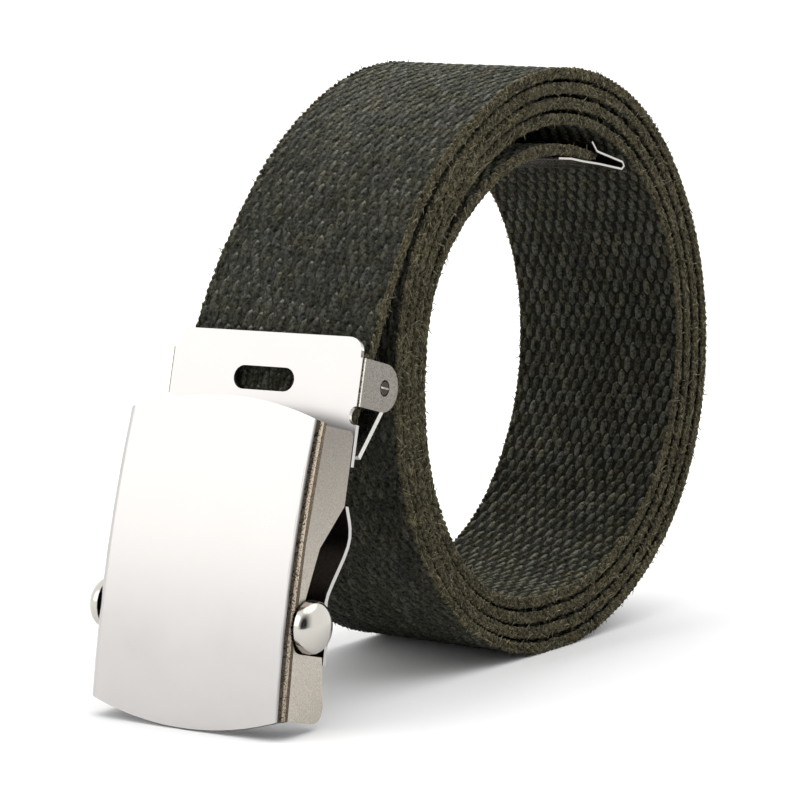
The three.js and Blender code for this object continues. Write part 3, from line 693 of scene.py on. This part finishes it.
class StrandTree:
    """A Geometry Nodes tree that sets small strands along the webbing, as a weave or an edge does."""

    COUNTS = ("Rows", "Lanes", "Seed")
    SIZES = ("Row Pitch", "Lane Pitch", "Stagger", "Sink", "Length", "Width", "Height", "Slant", "Lift",
             "Looseness", "Side")
    # A strand is a ball turned on its side, and its six-sided rings reach this share of its radius
    SEGMENTS = 6
    RINGS = 3
    RING_SHARE = 0.866
    STEP_SWING = 0.1
    SLANT_SWING = 0.35
    SIZE_SWING = 0.22
    LIFT_SEED = 9

    def __init__(self, name: str) -> None:
        """Makes the tree and its named inputs."""
        self.tree = bpy.data.node_groups.new(name, "GeometryNodeTree")
        face = self.tree.interface
        face.new_socket(name="Geometry", in_out="INPUT", socket_type="NodeSocketGeometry")
        kinds = dict.fromkeys(self.COUNTS, "NodeSocketInt") | dict.fromkeys(self.SIZES, NUMBER)
        kinds["Material"] = "NodeSocketMaterial"
        self.keys = {
            label: face.new_socket(name=label, in_out="INPUT", socket_type=kind).identifier
            for label, kind in kinds.items()
        }
        face.new_socket(name="Geometry", in_out="OUTPUT", socket_type="NodeSocketGeometry")
        self.board = Board(self.tree)
        self.given = self.board.node("NodeGroupInput").outputs

    def path_frame(self, distance: Any) -> dict[str, Socket]:
        """The path's point, heading, width direction, outward direction and half thickness."""
        board = self.board
        curve = board.node("GeometryNodeMeshToCurve", {"Mesh": self.given["Geometry"]}).outputs["Curve"]
        found = {}
        for label, kind in (("wide", "FLOAT_VECTOR"), ("half", "FLOAT")):
            inputs = {"Curves": curve, "Value": board.read(label, kind), "Length": distance}
            settings = {"mode": "LENGTH", "data_type": kind, "use_all_curves": True}
            sample = board.node("GeometryNodeSampleCurve", inputs, **settings)
            found[label] = board.output_of(sample, "Value")
            found["point"] = sample.outputs["Position"]
            found["heading"] = sample.outputs["Tangent"]
        found["outward"] = board.vector("CROSS_PRODUCT", found["wide"], found["heading"])
        return found

    def strand(self) -> Socket:
        """One strand: a plump six-sided seed along X, two units long, wide and high."""
        board = self.board
        inputs = {"Segments": self.SEGMENTS, "Rings": self.RINGS, "Radius": 1.0}
        ball = board.node("GeometryNodeMeshUVSphere", inputs)
        turn = board.node("FunctionNodeEulerToRotation", {"Euler": (0, math.pi / 2, 0)})
        inputs = {"Geometry": ball.outputs["Mesh"], "Rotation": turn.outputs["Rotation"]}
        return board.node("GeometryNodeTransform", inputs).outputs["Geometry"]

    def loose(self, swing: float, draw: Draw) -> Socket:
        """A random value about 0 that grows with the looseness."""
        seed = self.board.plus(self.given["Seed"], draw.value)
        return self.board.times(self.board.random(-swing, swing, seed), self.given["Looseness"])

    def stepped(self, row: Any, shift: Any) -> Socket:
        """How many rows along the webbing a strand lies, with its shift by the stagger."""
        step = self.board.plus(row, self.board.times(shift, self.given["Stagger"]))
        return self.board.plus(step, self.loose(self.STEP_SWING, Draw.STEP))

    def centred(self, lane: Any) -> Socket:
        """A lane's place, counted from the middle lane."""
        middle = self.board.over(self.board.minus(self.given["Lanes"], 1.0), 2.0)
        return self.board.minus(lane, middle)

    def rotated(self, rotation: Any, axis: Sequence[float], angle: Any) -> Socket:
        """A rotation turned further about one of its own axes."""
        lean = self.board.node("FunctionNodeAxisAngleToRotation", {"Axis": axis, "Angle": angle})
        inputs = {"Rotation": rotation, "Rotate By": lean.outputs["Rotation"]}
        turned = self.board.node("FunctionNodeRotateRotation", inputs, rotation_space="LOCAL")
        return turned.outputs["Rotation"]

    def lay(self, spot: Any, count: Any, normal: Any, heading: Any, hand: Any = 1.0) -> None:
        """Sets a strand on each spot, slanted from the heading, and closes the tree.

        Args:
            spot: where each strand's middle lies.
            count: how many strands there are.
            normal: which way each strand's back faces.
            heading: the direction of the webbing at each strand.
            hand: 1 or -1, the side that each strand slants to.
        """
        board = self.board
        points = board.node("GeometryNodePoints", {"Count": count, "Position": spot}).outputs[0]
        # The directions are read at the points themselves, so they are stored before the points are used
        known = {}
        for label, value, kind in (
            ("normal", normal, "FLOAT_VECTOR"),
            ("heading", heading, "FLOAT_VECTOR"),
            ("hand", hand, "FLOAT"),
        ):
            points = board.store(points, label, value, kind)
            known[label] = board.read(label, kind)
        directions = {"Primary Axis": known["normal"], "Secondary Axis": known["heading"]}
        axes = board.node("FunctionNodeAxesToRotation", directions, primary_axis="Z", secondary_axis="X")
        slant = board.times(self.given["Slant"], known["hand"])
        slant = board.plus(slant, self.loose(self.SLANT_SWING, Draw.SLANT))
        raised = board.times(self.given["Lift"], board.random(-1.0, 1.0, self.LIFT_SEED))
        rotation = self.rotated(axes.outputs["Rotation"], (0, 0, 1), slant)
        rotation = self.rotated(rotation, (0, 1, 0), raised)
        grown = board.plus(1.0, self.loose(self.SIZE_SWING, Draw.SIZE))
        sizes = {}
        for axis, label, share in (
            ("X", "Length", 1.0), ("Y", "Width", self.RING_SHARE), ("Z", "Height", self.RING_SHARE),
        ):
            sizes[axis] = board.times(board.over(self.given[label], 2 * share), grown)
        scale = board.node("ShaderNodeCombineXYZ", sizes).outputs["Vector"]
        inputs = {"Points": points, "Instance": self.strand(), "Rotation": rotation, "Scale": scale}
        strands = board.node("GeometryNodeInstanceOnPoints", inputs).outputs["Instances"]
        tone = board.random(0.0, 1.0, board.plus(self.given["Seed"], Draw.TONE.value))
        strands = board.store(strands, "tone", tone, "FLOAT", "INSTANCE")
        for kind, more in (
            ("GeometryNodeRealizeInstances", {}),
            ("GeometryNodeSetShadeSmooth", {}),
            ("GeometryNodeSetMaterial", {"Material": self.given["Material"]}),
        ):
            strands = board.node(kind, {"Geometry": strands} | more).outputs["Geometry"]
        board.node("NodeGroupOutput", {"Geometry": strands})

    def counted(self, per_row: Any) -> tuple:
        """Each point's row and its number within the row."""
        index = self.board.node("GeometryNodeInputIndex").outputs["Index"]
        row = self.board.math("FLOOR", self.board.over(index, per_row))
        return row, self.board.minus(index, self.board.times(row, per_row))

    def apply(self, guide: Piece, name: str, values: dict[str, Any]) -> Piece:
        """Runs the tree on a copy of the guide line and gives back a plain mesh piece."""
        piece = link(bpy.data.objects.new(name, guide.data.copy()))
        modifier = piece.modifiers.new("strands", "NODES")
        modifier.node_group = self.tree
        for label, value in values.items():
            modifier[self.keys[label]] = value
        return settle(piece)


class WeaveTree(StrandTree):
    """Knuckles of warp on one face of the webbing, in columns that are staggered like bricks."""

    FIRST_STEP = 0.35
    PLACE_SWING = 0.09

    def __init__(self) -> None:
        """Draws the tree."""
        super().__init__("warp_knuckles")
        board, given = self.board, self.given
        row, lane = self.counted(given["Lanes"])
        step = self.stepped(row, board.math("MODULO", lane, 2.0))
        path = self.path_frame(board.times(board.plus(step, self.FIRST_STEP), given["Row Pitch"]))
        place = board.plus(self.centred(lane), self.loose(self.PLACE_SWING, Draw.PLACE))
        aside = board.scaled(path["wide"], board.times(place, given["Lane Pitch"]))
        normal = board.scaled(path["outward"], given["Side"])
        rise = board.scaled(normal, board.minus(path["half"], given["Sink"]))
        spot = board.vector("ADD", board.vector("ADD", path["point"], aside), rise)
        self.lay(spot, board.times(given["Rows"], given["Lanes"]), normal, path["heading"])


class EdgeTree(StrandTree):
    """Weft loops along both edges of the webbing, in slanted lanes from face to face."""

    SWELL_PITCH = 2.7 * MM
    SWELL = 0.08 * MM

    def __init__(self) -> None:
        """Draws the tree."""
        super().__init__("edge_loops")
        board, given = self.board, self.given
        per_row = board.times(given["Lanes"], 2.0)
        row, number = self.counted(per_row)
        edge = board.math("FLOOR", board.over(number, given["Lanes"]))
        lane = board.minus(number, board.times(edge, given["Lanes"]))
        sign = board.minus(board.times(edge, 2.0), 1.0)
        distance = board.times(self.stepped(row, lane), given["Row Pitch"])
        path = self.path_frame(distance)
        place = self.centred(lane)
        full = board.over(path["half"], StrapPath.thickness / 2)
        height = board.times(board.times(place, given["Lane Pitch"]), full)
        # The middle lanes stand out furthest, so that the edge is round, and it swells at every weft
        hollow = board.times(board.times(place, place), given["Side"])
        wave = board.math("SINE", board.times(distance, 2 * math.pi / self.SWELL_PITCH))
        reach = board.minus(board.minus(StrapPath.width / 2, given["Sink"]), hollow)
        reach = board.plus(reach, board.times(wave, self.SWELL))
        normal = board.scaled(path["wide"], sign)
        spot = board.vector("ADD", path["point"], board.scaled(normal, reach))
        spot = board.vector("ADD", spot, board.scaled(path["outward"], height))
        hand = board.minus(1.0, board.times(board.math("MODULO", lane, 2.0), 2.0))
        self.lay(spot, board.times(given["Rows"], per_row), normal, path["heading"], hand)


@dataclass(frozen=True)
class Strands:
    """One kind of strand on the webbing.

    Attributes:
        length: a strand's length along the webbing.
        width: its width.
        height: its height off the webbing.
        row_pitch: from one row to the next.
        lanes: how many strands lie side by side in a row.
        lane_pitch: from one lane to the next.
        sink: how deep a strand's middle lies.
        slant: its turn from the webbing's direction.
        looseness: how unevenly the strands lie.
        side: the webbing's face as a sign, or for an edge how far its outer lanes fall back.
        seed: of the random draws.
        stagger: how far a lane is shifted against the one before it, in rows.
        lift: how far a strand's end may rise, in radians.
    """

    length: float
    width: float
    height: float
    row_pitch: float
    lanes: int
    lane_pitch: float
    sink: float
    slant: float
    looseness: float
    side: float
    seed: int
    stagger: float = 0.5
    lift: float = 0.0

    def values(self, reach: float, material: Material) -> dict[str, Any]:
        """The tree's inputs for webbing of that length."""
        sizes = {entry.name.replace("_", " ").title(): getattr(self, entry.name) for entry in fields(self)}
        return sizes | {"Rows": math.floor(reach / self.row_pitch), "Material": material}


class Webbing:
    """The canvas webbing: a core band under two woven faces and two looped edges."""

    # Finishes: colours of clean, olive and faded yarn, and how far the piece has faded
    COTTON = {
        # The core is painted dark as the shade in the gaps between the strands; its outer side takes the
        # outer face's finish
        "core": ((0.014, 0.015, 0.013), (0.016, 0.016, 0.01), (0.03, 0.027, 0.019), 0.1),
        "outer": ((0.039, 0.041, 0.037), (0.043, 0.043, 0.03), (0.088, 0.081, 0.059), 0.08),
        "inner": ((0.042, 0.044, 0.039), (0.046, 0.044, 0.028), (0.09, 0.08, 0.056), 0.08),
        "edge": ((0.038, 0.036, 0.025), (0.046, 0.041, 0.022), (0.105, 0.09, 0.055), 0.3),
        "fuzz": ((0.08, 0.076, 0.052), (0.09, 0.084, 0.048), (0.2, 0.18, 0.12), 0.4),
    }
    SLANT = math.radians(4)
    EDGE_SLANT = math.radians(22)
    FLAT = (38 * MM, 1.333)
    OUTER = Strands(4.6 * MM, 1.5 * MM, 0.84 * MM, 5.4 * MM, 31, 1.19 * MM, 0.42 * MM, SLANT, 0.45,
                    Side.OUTER.value, 11)
    INNER = Strands(4.1 * MM, 1.5 * MM, 1.0 * MM, 5.4 * MM, 31, 1.19 * MM, 0.5 * MM, -SLANT, 0.35,
                    Side.INNER.value, 47)
    EDGE = Strands(2.3 * MM, 0.78 * MM, 0.75 * MM, 1.35 * MM, 3, 0.62 * MM, 0.4 * MM, EDGE_SLANT, 0.45,
                   0.08 * MM, 5)
    FUZZ = Strands(1.7 * MM, 0.1 * MM, 0.08 * MM, 1.1 * MM, 3, 0.62 * MM, 0.05 * MM, EDGE_SLANT, 4.0,
                   0.08 * MM, 71, lift=0.45)
    CORE_MARGIN = 0.38 * MM
    CORE_OUTER_MARGIN = 0.29 * MM
    CORE_STEP = 3
    # The core's section, as shares of its half width and half thickness, and its side on the outer face
    CORE_SECTION = (
        (-1, -0.4), (-1, 0.4), (-0.97, 1), (0.97, 1), (1, 0.4), (1, -0.4), (0.97, -1), (-0.97, -1))
    CORE_OUTER_SIDE = 2

    def __init__(self, samples: PathSamples, cotton: Tree) -> None:
        """Keeps the webbing's line and makes its finishes."""
        self.samples = samples
        self.cotton = materials_of(CottonFinish, "webbing_{}_cotton", self.COTTON, cotton)

    def core(self) -> Piece:
        """The band that the strands lie on, thinner than the webbing by the height that they show, and
        painted dark as the shade between them.
        """
        line = self.samples
        last = len(line.points) - 1
        keep = [*range(0, last, self.CORE_STEP), last]
        half_width = StrapPath.width / 2 - self.CORE_MARGIN
        verts, faces = [], []
        for k in keep:
            halves = {True: line.half[k] - self.CORE_OUTER_MARGIN, False: line.half[k] - self.CORE_MARGIN}
            verts += [line.points[k] + line.wide[k] * half_width * a + line.outward[k] * halves[b > 0] * b
                      for a, b in self.CORE_SECTION]
        count = len(self.CORE_SECTION)
        for ring in range(len(keep) - 1):
            faces += band_faces(ring * count, count)
        faces.append(tuple(range(count))[::-1])
        faces.append(tuple(range(len(verts) - count, len(verts))))
        piece = mesh_piece("webbing_core", verts, faces, self.cotton["core"])
        piece.data.materials.append(self.cotton["outer"])
        for ring in range(len(keep) - 1):
            piece.data.polygons[ring * count + self.CORE_OUTER_SIDE].material_index = 1
        return piece

    def build(self) -> None:
        """Makes the core, the two faces, the edges and their fuzz."""
        core = self.core()
        guide = self.samples.guide("webbing_guide")
        weave, edge = WeaveTree(), EdgeTree()
        strands = [
            tree.apply(guide, name, kind.values(self.samples.length, self.cotton[finish]))
            for tree, name, kind, finish in (
                (weave, "webbing_outer_weave", self.OUTER, "outer"),
                (weave, "webbing_inner_weave", self.INNER, "inner"),
                (edge, "webbing_edges", self.EDGE, "edge"),
                (edge, "webbing_edge_fuzz", self.FUZZ, "fuzz"),
            )
        ]
        bpy.data.objects.remove(guide)
        finish_piece(core, BODY, ["webbing_strap"])
        for piece in strands:
            finish_piece(piece, BODY)


def round_edges(piece: Piece, width: float, rim: int, angle: float = 35.0) -> Piece:
    """Adds a small round to every sharp edge, with flat faces kept flat in their shading."""
    bevel = piece.modifiers.new("round", "BEVEL")
    bevel.width = width
    bevel.segments = 2
    bevel.limit_method = "ANGLE"
    bevel.angle_limit = math.radians(angle)
    bevel.harden_normals = False
    bevel.material = rim
    piece.modifiers.new("even", "WEIGHTED_NORMAL").keep_sharp = True
    return piece


class Buckle:
    """The buckle's metal pieces and the strap's tip.

    Lengths are places in the buckle's own axes. A limit is a share of a face's normal, and a face that
    looks straight along the axis has 1.
    """

    # Finishes: colour, roughness, speckle, grain and bump, and the painted light or shade that makes the
    # top brighter or darker than the foot
    NICKEL = {
        "satin": ((0.48, 0.463, 0.45), 0.3, 0.02, 6000.0, 0.02),
        # Grainy flange, with painted shade that darkens it towards the top
        "flange": ((0.48, 0.44, 0.385), 0.42, 0.7, 3600.0, 0.4, 0.5),
        # Round the frame's fold: painted shade, a speckled painted highlight and a thin dark painted line,
        # brighter towards the top
        "fold_shade": ((0.1, 0.082, 0.06), 0.35, 1.2, 2800.0, 0.5, 1.8),
        "fold": ((0.3, 0.255, 0.2), 0.3, 2.6, 3100.0, 1.0, 1.9),
        "fold_line": ((0.09, 0.07, 0.05), 0.35, 1.6, 3000.0, 0.6, 1.5),
        # Grainy ear, painted darker than the plate's front as shade
        "ear": ((0.22, 0.205, 0.18), 0.4, 1.1, 3000.0, 0.8),
        "glint": ((0.72, 0.69, 0.62), 0.25, 0.8, 2600.0, 0.5),
        # Painted shade for hollows and for faces turned towards another part
        "inner": ((0.05, 0.04, 0.032), 0.45, 0.5, 1500.0, 0.3),
        # Painted shade for the rounded edges, the end faces and the edge of the left fold
        "rim": ((0.12, 0.12, 0.13), 0.35, 0.1, 3000.0, 0.1),
        "pale_rim": ((0.55, 0.54, 0.5), 0.3, 0.4, 3000.0, 0.1),
        "bright": ((0.5, 0.48, 0.44), 0.14, 0.02, 3000.0, 0.02),
        "tip_shade": ((0.2, 0.18, 0.15), 0.25, 0.3, 2500.0, 0.2),
    }
    # The names of each piece's finishes, with that of its rounded edges last
    FACE = ("satin", "flange", "fold_shade", "fold", "fold_line", "inner", "rim")
    PLATE = ("satin", "ear", "inner", "fold_shade", "glint", "rim")
    FLAP = ("pale_rim", "inner", "pale_rim")
    TIP = ("bright", "tip_shade", "rim")
    KNOB = ("bright", "inner", "rim")
    SIDE_LIMIT = 0.995
    # By how far a facet looks sideways: satin, then painted shade, a speckled painted highlight and a thin
    # dark painted line, then the flange
    FOLD_STEPS = ((0.4, "satin"), (0.7, "fold_shade"), (0.92, "fold"), (SIDE_LIMIT, "fold_line"))
    LEFT_FOLD_LIMIT = 0.7
    END_LIMIT = 0.6
    BACK_LIMIT = 0.3
    INWARD = -0.1 * MM
    BEND_LIMITS = (0.1, 0.5)
    KNOB_LIMIT = -0.5
    DOWN_LIMIT = -0.2
    FLANGE_HALF = 20.0 * MM
    EAR_INSIDE = 19.0 * MM
    EAR_CORNER = (21 * MM, 10.8 * MM)
    EAR_CORNER_FOOT = 29 * MM
    EAR_FOOT = 28 * MM
    EAR_START = 10.9 * MM
    BEND_START = 10.7 * MM
    EAR_BEND = 2.0 * MM
    EAR_BEND_STEPS = 6
    NEAR = 0.1 * MM
    SHADED_BELOW = 13 * MM
    TONGUE_FROM = 20.9 * MM
    TONGUE_TO = 21.07 * MM
    TONGUE_LONG = 1.35 * MM
    TONGUE_HIGH = 0.16 * MM
    # The tongue's section, as shares of its half length and half height
    TONGUE_SECTION = ((-1, 0), (-0.8, 1), (0.8, 1), (1, 0), (0.8, -1), (-0.8, -1))
    MERGE = 0.002 * MM
    FLAT_ANGLE = math.radians(1)

    def __init__(self, axes: BuckleFrame, plated: Tree) -> None:
        """Keeps the buckle's axes and makes its finishes."""
        self.axes = axes
        self.metal = materials_of(PlatedFinish, "nickel_{}", self.NICKEL, plated)

    def place_of(self, point: Vector) -> tuple[float, float, float]:
        """How far a point lies across, back and up in the buckle."""
        inside = point - self.axes.origin
        return inside.dot(self.axes.across), inside.dot(self.axes.back), inside.dot(self.axes.up)

    def frame_finish(self, middle: Vector, normal: Vector) -> str:
        """Satin in front; painted shade, a speckled painted highlight and a dark painted line round the
        right fold; grainy flanges painted darker towards the top; painted shade inside and on the rims.
        """
        u, _, _ = self.place_of(middle)
        sideways = normal.dot(self.axes.across)
        if abs(normal.dot(self.axes.up)) > self.END_LIMIT:
            return "rim"
        if normal.dot(self.axes.back) > self.BACK_LIMIT or sideways * u < self.INWARD:
            return "inner"
        if u < 0 and abs(sideways) < self.SIDE_LIMIT:
            return "satin" if abs(sideways) < self.LEFT_FOLD_LIMIT else "rim"
        return next((name for limit, name in self.FOLD_STEPS if abs(sideways) < limit), "flange")

    def plate_finish(self, middle: Vector, normal: Vector) -> str:
        """Satin in front; grainy ears painted darker as shade; painted shade and a painted glint round
        their bends; painted shade low down between the flanges.
        """
        u, d, v = self.place_of(middle)
        outward = normal.dot(self.axes.across) * (1 if u > 0 else -1)
        if v > self.EAR_FOOT and abs(u) > self.EAR_INSIDE and d > self.BEND_START:
            if outward > self.SIDE_LIMIT and d > self.EAR_START:
                return "ear"
            if self.BEND_LIMITS[0] < outward <= self.SIDE_LIMIT and normal.dot(self.axes.back) < 0:
                return "fold_shade" if outward < self.BEND_LIMITS[1] else "glint"
            if outward < -self.SIDE_LIMIT:
                return "inner"
        return "inner" if v < self.SHADED_BELOW and abs(outward) < self.SIDE_LIMIT else "satin"

    def flap_finish(self, middle: Vector, normal: Vector) -> str:
        """Pale, with painted shade on the ends of the pin."""
        u, _, _ = self.place_of(middle)
        at_end = abs(normal.dot(self.axes.across)) > self.SIDE_LIMIT and abs(u) > self.FLANGE_HALF
        return "inner" if at_end else "pale_rim"

    def tip_finish(self, _: Vector, normal: Vector) -> str:
        """Bright outside and shaded on the faces that look down."""
        return "tip_shade" if normal.z < self.DOWN_LIMIT else "bright"

    def knob_finish(self, middle: Vector, normal: Vector) -> str:
        """Bright, with painted shade on its side towards the buckle."""
        u, _, _ = self.place_of(middle)
        outward = normal.dot(self.axes.across) * (1 if u > 0 else -1)
        return "inner" if outward < self.KNOB_LIMIT else "bright"

    def bend_ears(self, build: bmesh.types.BMesh) -> None:
        """Rounds the corner where each ear is bent back from the plate."""
        wide, deep = self.EAR_CORNER
        corners = []
        for edge in build.edges:
            ends = [self.place_of(vert.co) for vert in edge.verts]
            if all(abs(abs(u) - wide) < self.NEAR and abs(d - deep) < self.NEAR and v > self.EAR_CORNER_FOOT
                   for u, d, v in ends):
                corners.append(edge)
        bmesh.ops.bevel(build, geom=corners, offset=self.EAR_BEND, offset_type="OFFSET",
                        segments=self.EAR_BEND_STEPS, profile=0.5, affect="EDGES", clamp_overlap=True)

    def refined(self, node: str, names: Sequence[str], bevel: float,
                chooser: Callable[[Vector, Vector], str] | None = None,
                shaper: Callable[[bmesh.types.BMesh], None] | None = None) -> Piece:
        """A copy of a solid with its facets merged and its edges rounded.

        Args:
            node: the solid's name.
            names: the names of the piece's finishes, with that of its rounded edges last.
            bevel: how wide the rounds are.
            chooser: gives the name of a face's finish, from its middle and its normal.
            shaper: changes the mesh before its edges are rounded.

        Returns:
            The piece, as a plain mesh.
        """
        mesh = frame["nodes"][node].data.copy()
        mesh.materials.clear()
        for name in names:
            mesh.materials.append(self.metal[name])
        build = bmesh.new()
        build.from_mesh(mesh)
        bmesh.ops.remove_doubles(build, verts=build.verts, dist=self.MERGE)
        bmesh.ops.dissolve_limit(build, angle_limit=self.FLAT_ANGLE, use_dissolve_boundaries=False,
                                 verts=build.verts, edges=build.edges)
        if shaper:
            shaper(build)
        build.normal_update()
        for face in build.faces:
            face.smooth = True
            name = chooser(face.calc_center_median(), face.normal) if chooser else names[0]
            face.material_index = names.index(name)
        build.to_mesh(mesh)
        build.free()
        piece = link(bpy.data.objects.new(f"{node}_finished", mesh))
        return settle(round_edges(piece, bevel, len(names) - 1))

    def tongues(self) -> Piece:
        """Thin bright tongues that show in the holes of the ears."""
        verts, faces = [], []
        count = len(self.TONGUE_SECTION)
        for side in (-1, 1):
            first = len(verts)
            for u in (side * self.TONGUE_FROM, side * self.TONGUE_TO):
                for along, high in self.TONGUE_SECTION:
                    d = self.axes.pivot_back + along * self.TONGUE_LONG
                    v = self.axes.pivot_up + high * self.TONGUE_HIGH
                    verts.append(self.axes.place(u, d, v))
            near = tuple(range(first, first + count))
            far = tuple(range(first + count, first + 2 * count))
            outside = [near[::-1], far, *band_faces(first, count)]
            faces += outside if side > 0 else [face[::-1] for face in outside]
        return mesh_piece("pin_tongues", verts, faces, self.metal["pale_rim"])

    def build(self) -> None:
        """Makes every metal piece."""
        for node, names, slot, body, bevel, chooser, shaper in (
            ("face_frame", self.FACE, Slot.FACE, BODY, 0.15 * MM, self.frame_finish, None),
            ("back_plate", self.PLATE, Slot.FACE, BODY, 0.15 * MM, self.plate_finish, self.bend_ears),
            ("clamp_flap", self.FLAP, Slot.FACE, "flap", 0.1 * MM, self.flap_finish, None),
            ("strap_tip", self.TIP, Slot.BRIGHT, BODY, 0.08 * MM, self.tip_finish, None),
            ("roller_bar", self.KNOB, Slot.BRIGHT, "roller", 0.1 * MM, None, None),
            ("knob_left", self.KNOB, Slot.BRIGHT, "roller", 0.1 * MM, self.knob_finish, None),
            ("knob_right", self.KNOB, Slot.BRIGHT, "roller", 0.1 * MM, self.knob_finish, None),
        ):
            finish_piece(self.refined(node, names, bevel, chooser, shaper), body, [node])
        finish_piece(self.tongues(), "flap")


@dataclass
class Studio:
    """The floor, the lights and the camera."""

    camera_at: tuple[float, float, float] = (345.99 * MM, -467.88 * MM, 127.11 * MM)
    camera_to: tuple[float, float, float] = (-11.39 * MM, 7.54 * MM, 47.8 * MM)
    roll: float = math.radians(-0.81)
    lens: float = 138.5
    sensor: float = 36.0
    near: float = 0.01
    far: float = 50.0
    floor_half: float = 40.0
    floor_colour: Colour = (0.93, 0.93, 0.93)
    sky: float = 1.35
    paper: float = 1.0
    dim_way: tuple[float, float, float] = (0.6, -0.75, 0.28)
    dim_range: tuple[float, float] = (0.4, 1.0)
    dim_share: float = 0.03
    sun: float = 0.9
    sun_spread: float = math.radians(70)
    sun_turn: tuple[float, float, float] = (math.radians(-12), math.radians(8), 0)
    key_at: tuple[float, float, float] = (-0.75, -1.15, 0.75)
    key_to: tuple[float, float, float] = (0, 0, 0.05)
    key_size: float = 1.0
    key_power: float = 3.4

    def camera(self) -> None:
        """Sets the camera at the photograph's angle."""
        data = bpy.data.cameras.new("camera")
        data.lens = self.lens
        data.sensor_width = self.sensor
        data.clip_start = self.near
        data.clip_end = self.far
        camera = link(bpy.data.objects.new("camera", data))
        towards = (Vector(self.camera_to) - Vector(self.camera_at)).normalized()
        turn = towards.to_track_quat("-Z", "Y").to_matrix().to_4x4()
        camera.matrix_world = Matrix.Translation(self.camera_at) @ turn @ Matrix.Rotation(self.roll, 4, "Z")
        bpy.context.scene.camera = camera

    def floor(self) -> None:
        """Lays a pale floor."""
        material = bpy.data.materials.new("floor_paper")
        material.use_nodes = True
        surface = material.node_tree.nodes["Principled BSDF"].inputs
        surface["Base Color"].default_value = rgba(self.floor_colour)
        surface["Roughness"].default_value = 1.0
        surface["Specular IOR Level"].default_value = 0.0
        h = self.floor_half
        corners = [(-h, -h, 0), (h, -h, 0), (h, h, 0), (-h, h, 0)]
        mesh_piece("floor", corners, [(0, 1, 2, 3)], material)

    def world(self) -> None:
        """Surrounds the belt with a soft light, which the camera sees as plain white paper."""
        world = bpy.data.worlds.new("studio")
        world.use_nodes = True
        bpy.context.scene.world = world
        board = Board(world.node_tree)
        background = world.node_tree.nodes["Background"].inputs
        way = board.node("ShaderNodeTexCoord").outputs["Generated"]
        gap = board.vector("DISTANCE", way, self.dim_way, output="Value")
        sky = board.times(self.sky, board.remap(gap, *self.dim_range, self.dim_share, 1.0))
        seen = board.node("ShaderNodeLightPath").outputs["Is Camera Ray"]
        board.feed(background["Color"], rgba((1.0, 1.0, 1.0)))
        board.feed(background["Strength"], board.plus(sky, board.times(seen, self.paper)))

    def overhead(self) -> None:
        """Hangs a very wide light above, which keeps the floor white to its far end."""
        data = bpy.data.lights.new("overhead", "SUN")
        data.energy = self.sun
        data.angle = self.sun_spread
        light = link(bpy.data.objects.new("overhead", data))
        light.rotation_euler = self.sun_turn

    def softbox(self) -> None:
        """Hangs a square softbox that faces the buckle."""
        data = bpy.data.lights.new("key_softbox", "AREA")
        data.shape = "SQUARE"
        data.size = self.key_size
        data.energy = self.key_power
        light = link(bpy.data.objects.new("key_softbox", data))
        light.location = Vector(self.key_at)
        towards = Vector(self.key_to) - Vector(self.key_at)
        light.rotation_euler = towards.to_track_quat("-Z", "Y").to_euler()

    def build(self) -> None:
        """Sets up the whole studio."""
        self.camera()
        self.floor()
        self.world()
        self.overhead()
        self.softbox()
        bpy.context.scene.view_settings.view_transform = "Standard"


def main() -> None:
    """Builds the belt's pieces in order, round the solids of the frame."""
    logging.basicConfig(level=logging.INFO, format="%(name)s: %(message)s")
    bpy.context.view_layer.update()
    Studio().build()
    axes = BuckleFrame.from_joints(frame["joints"])
    samples = StrapPath().sample(axes)
    LOG.info("webbing length %.4f m", samples.length)
    Webbing(samples, CottonGroup().build()).build()
    Buckle(axes, PlatedGroup().build()).build()


if __name__ == "__main__":
    main()
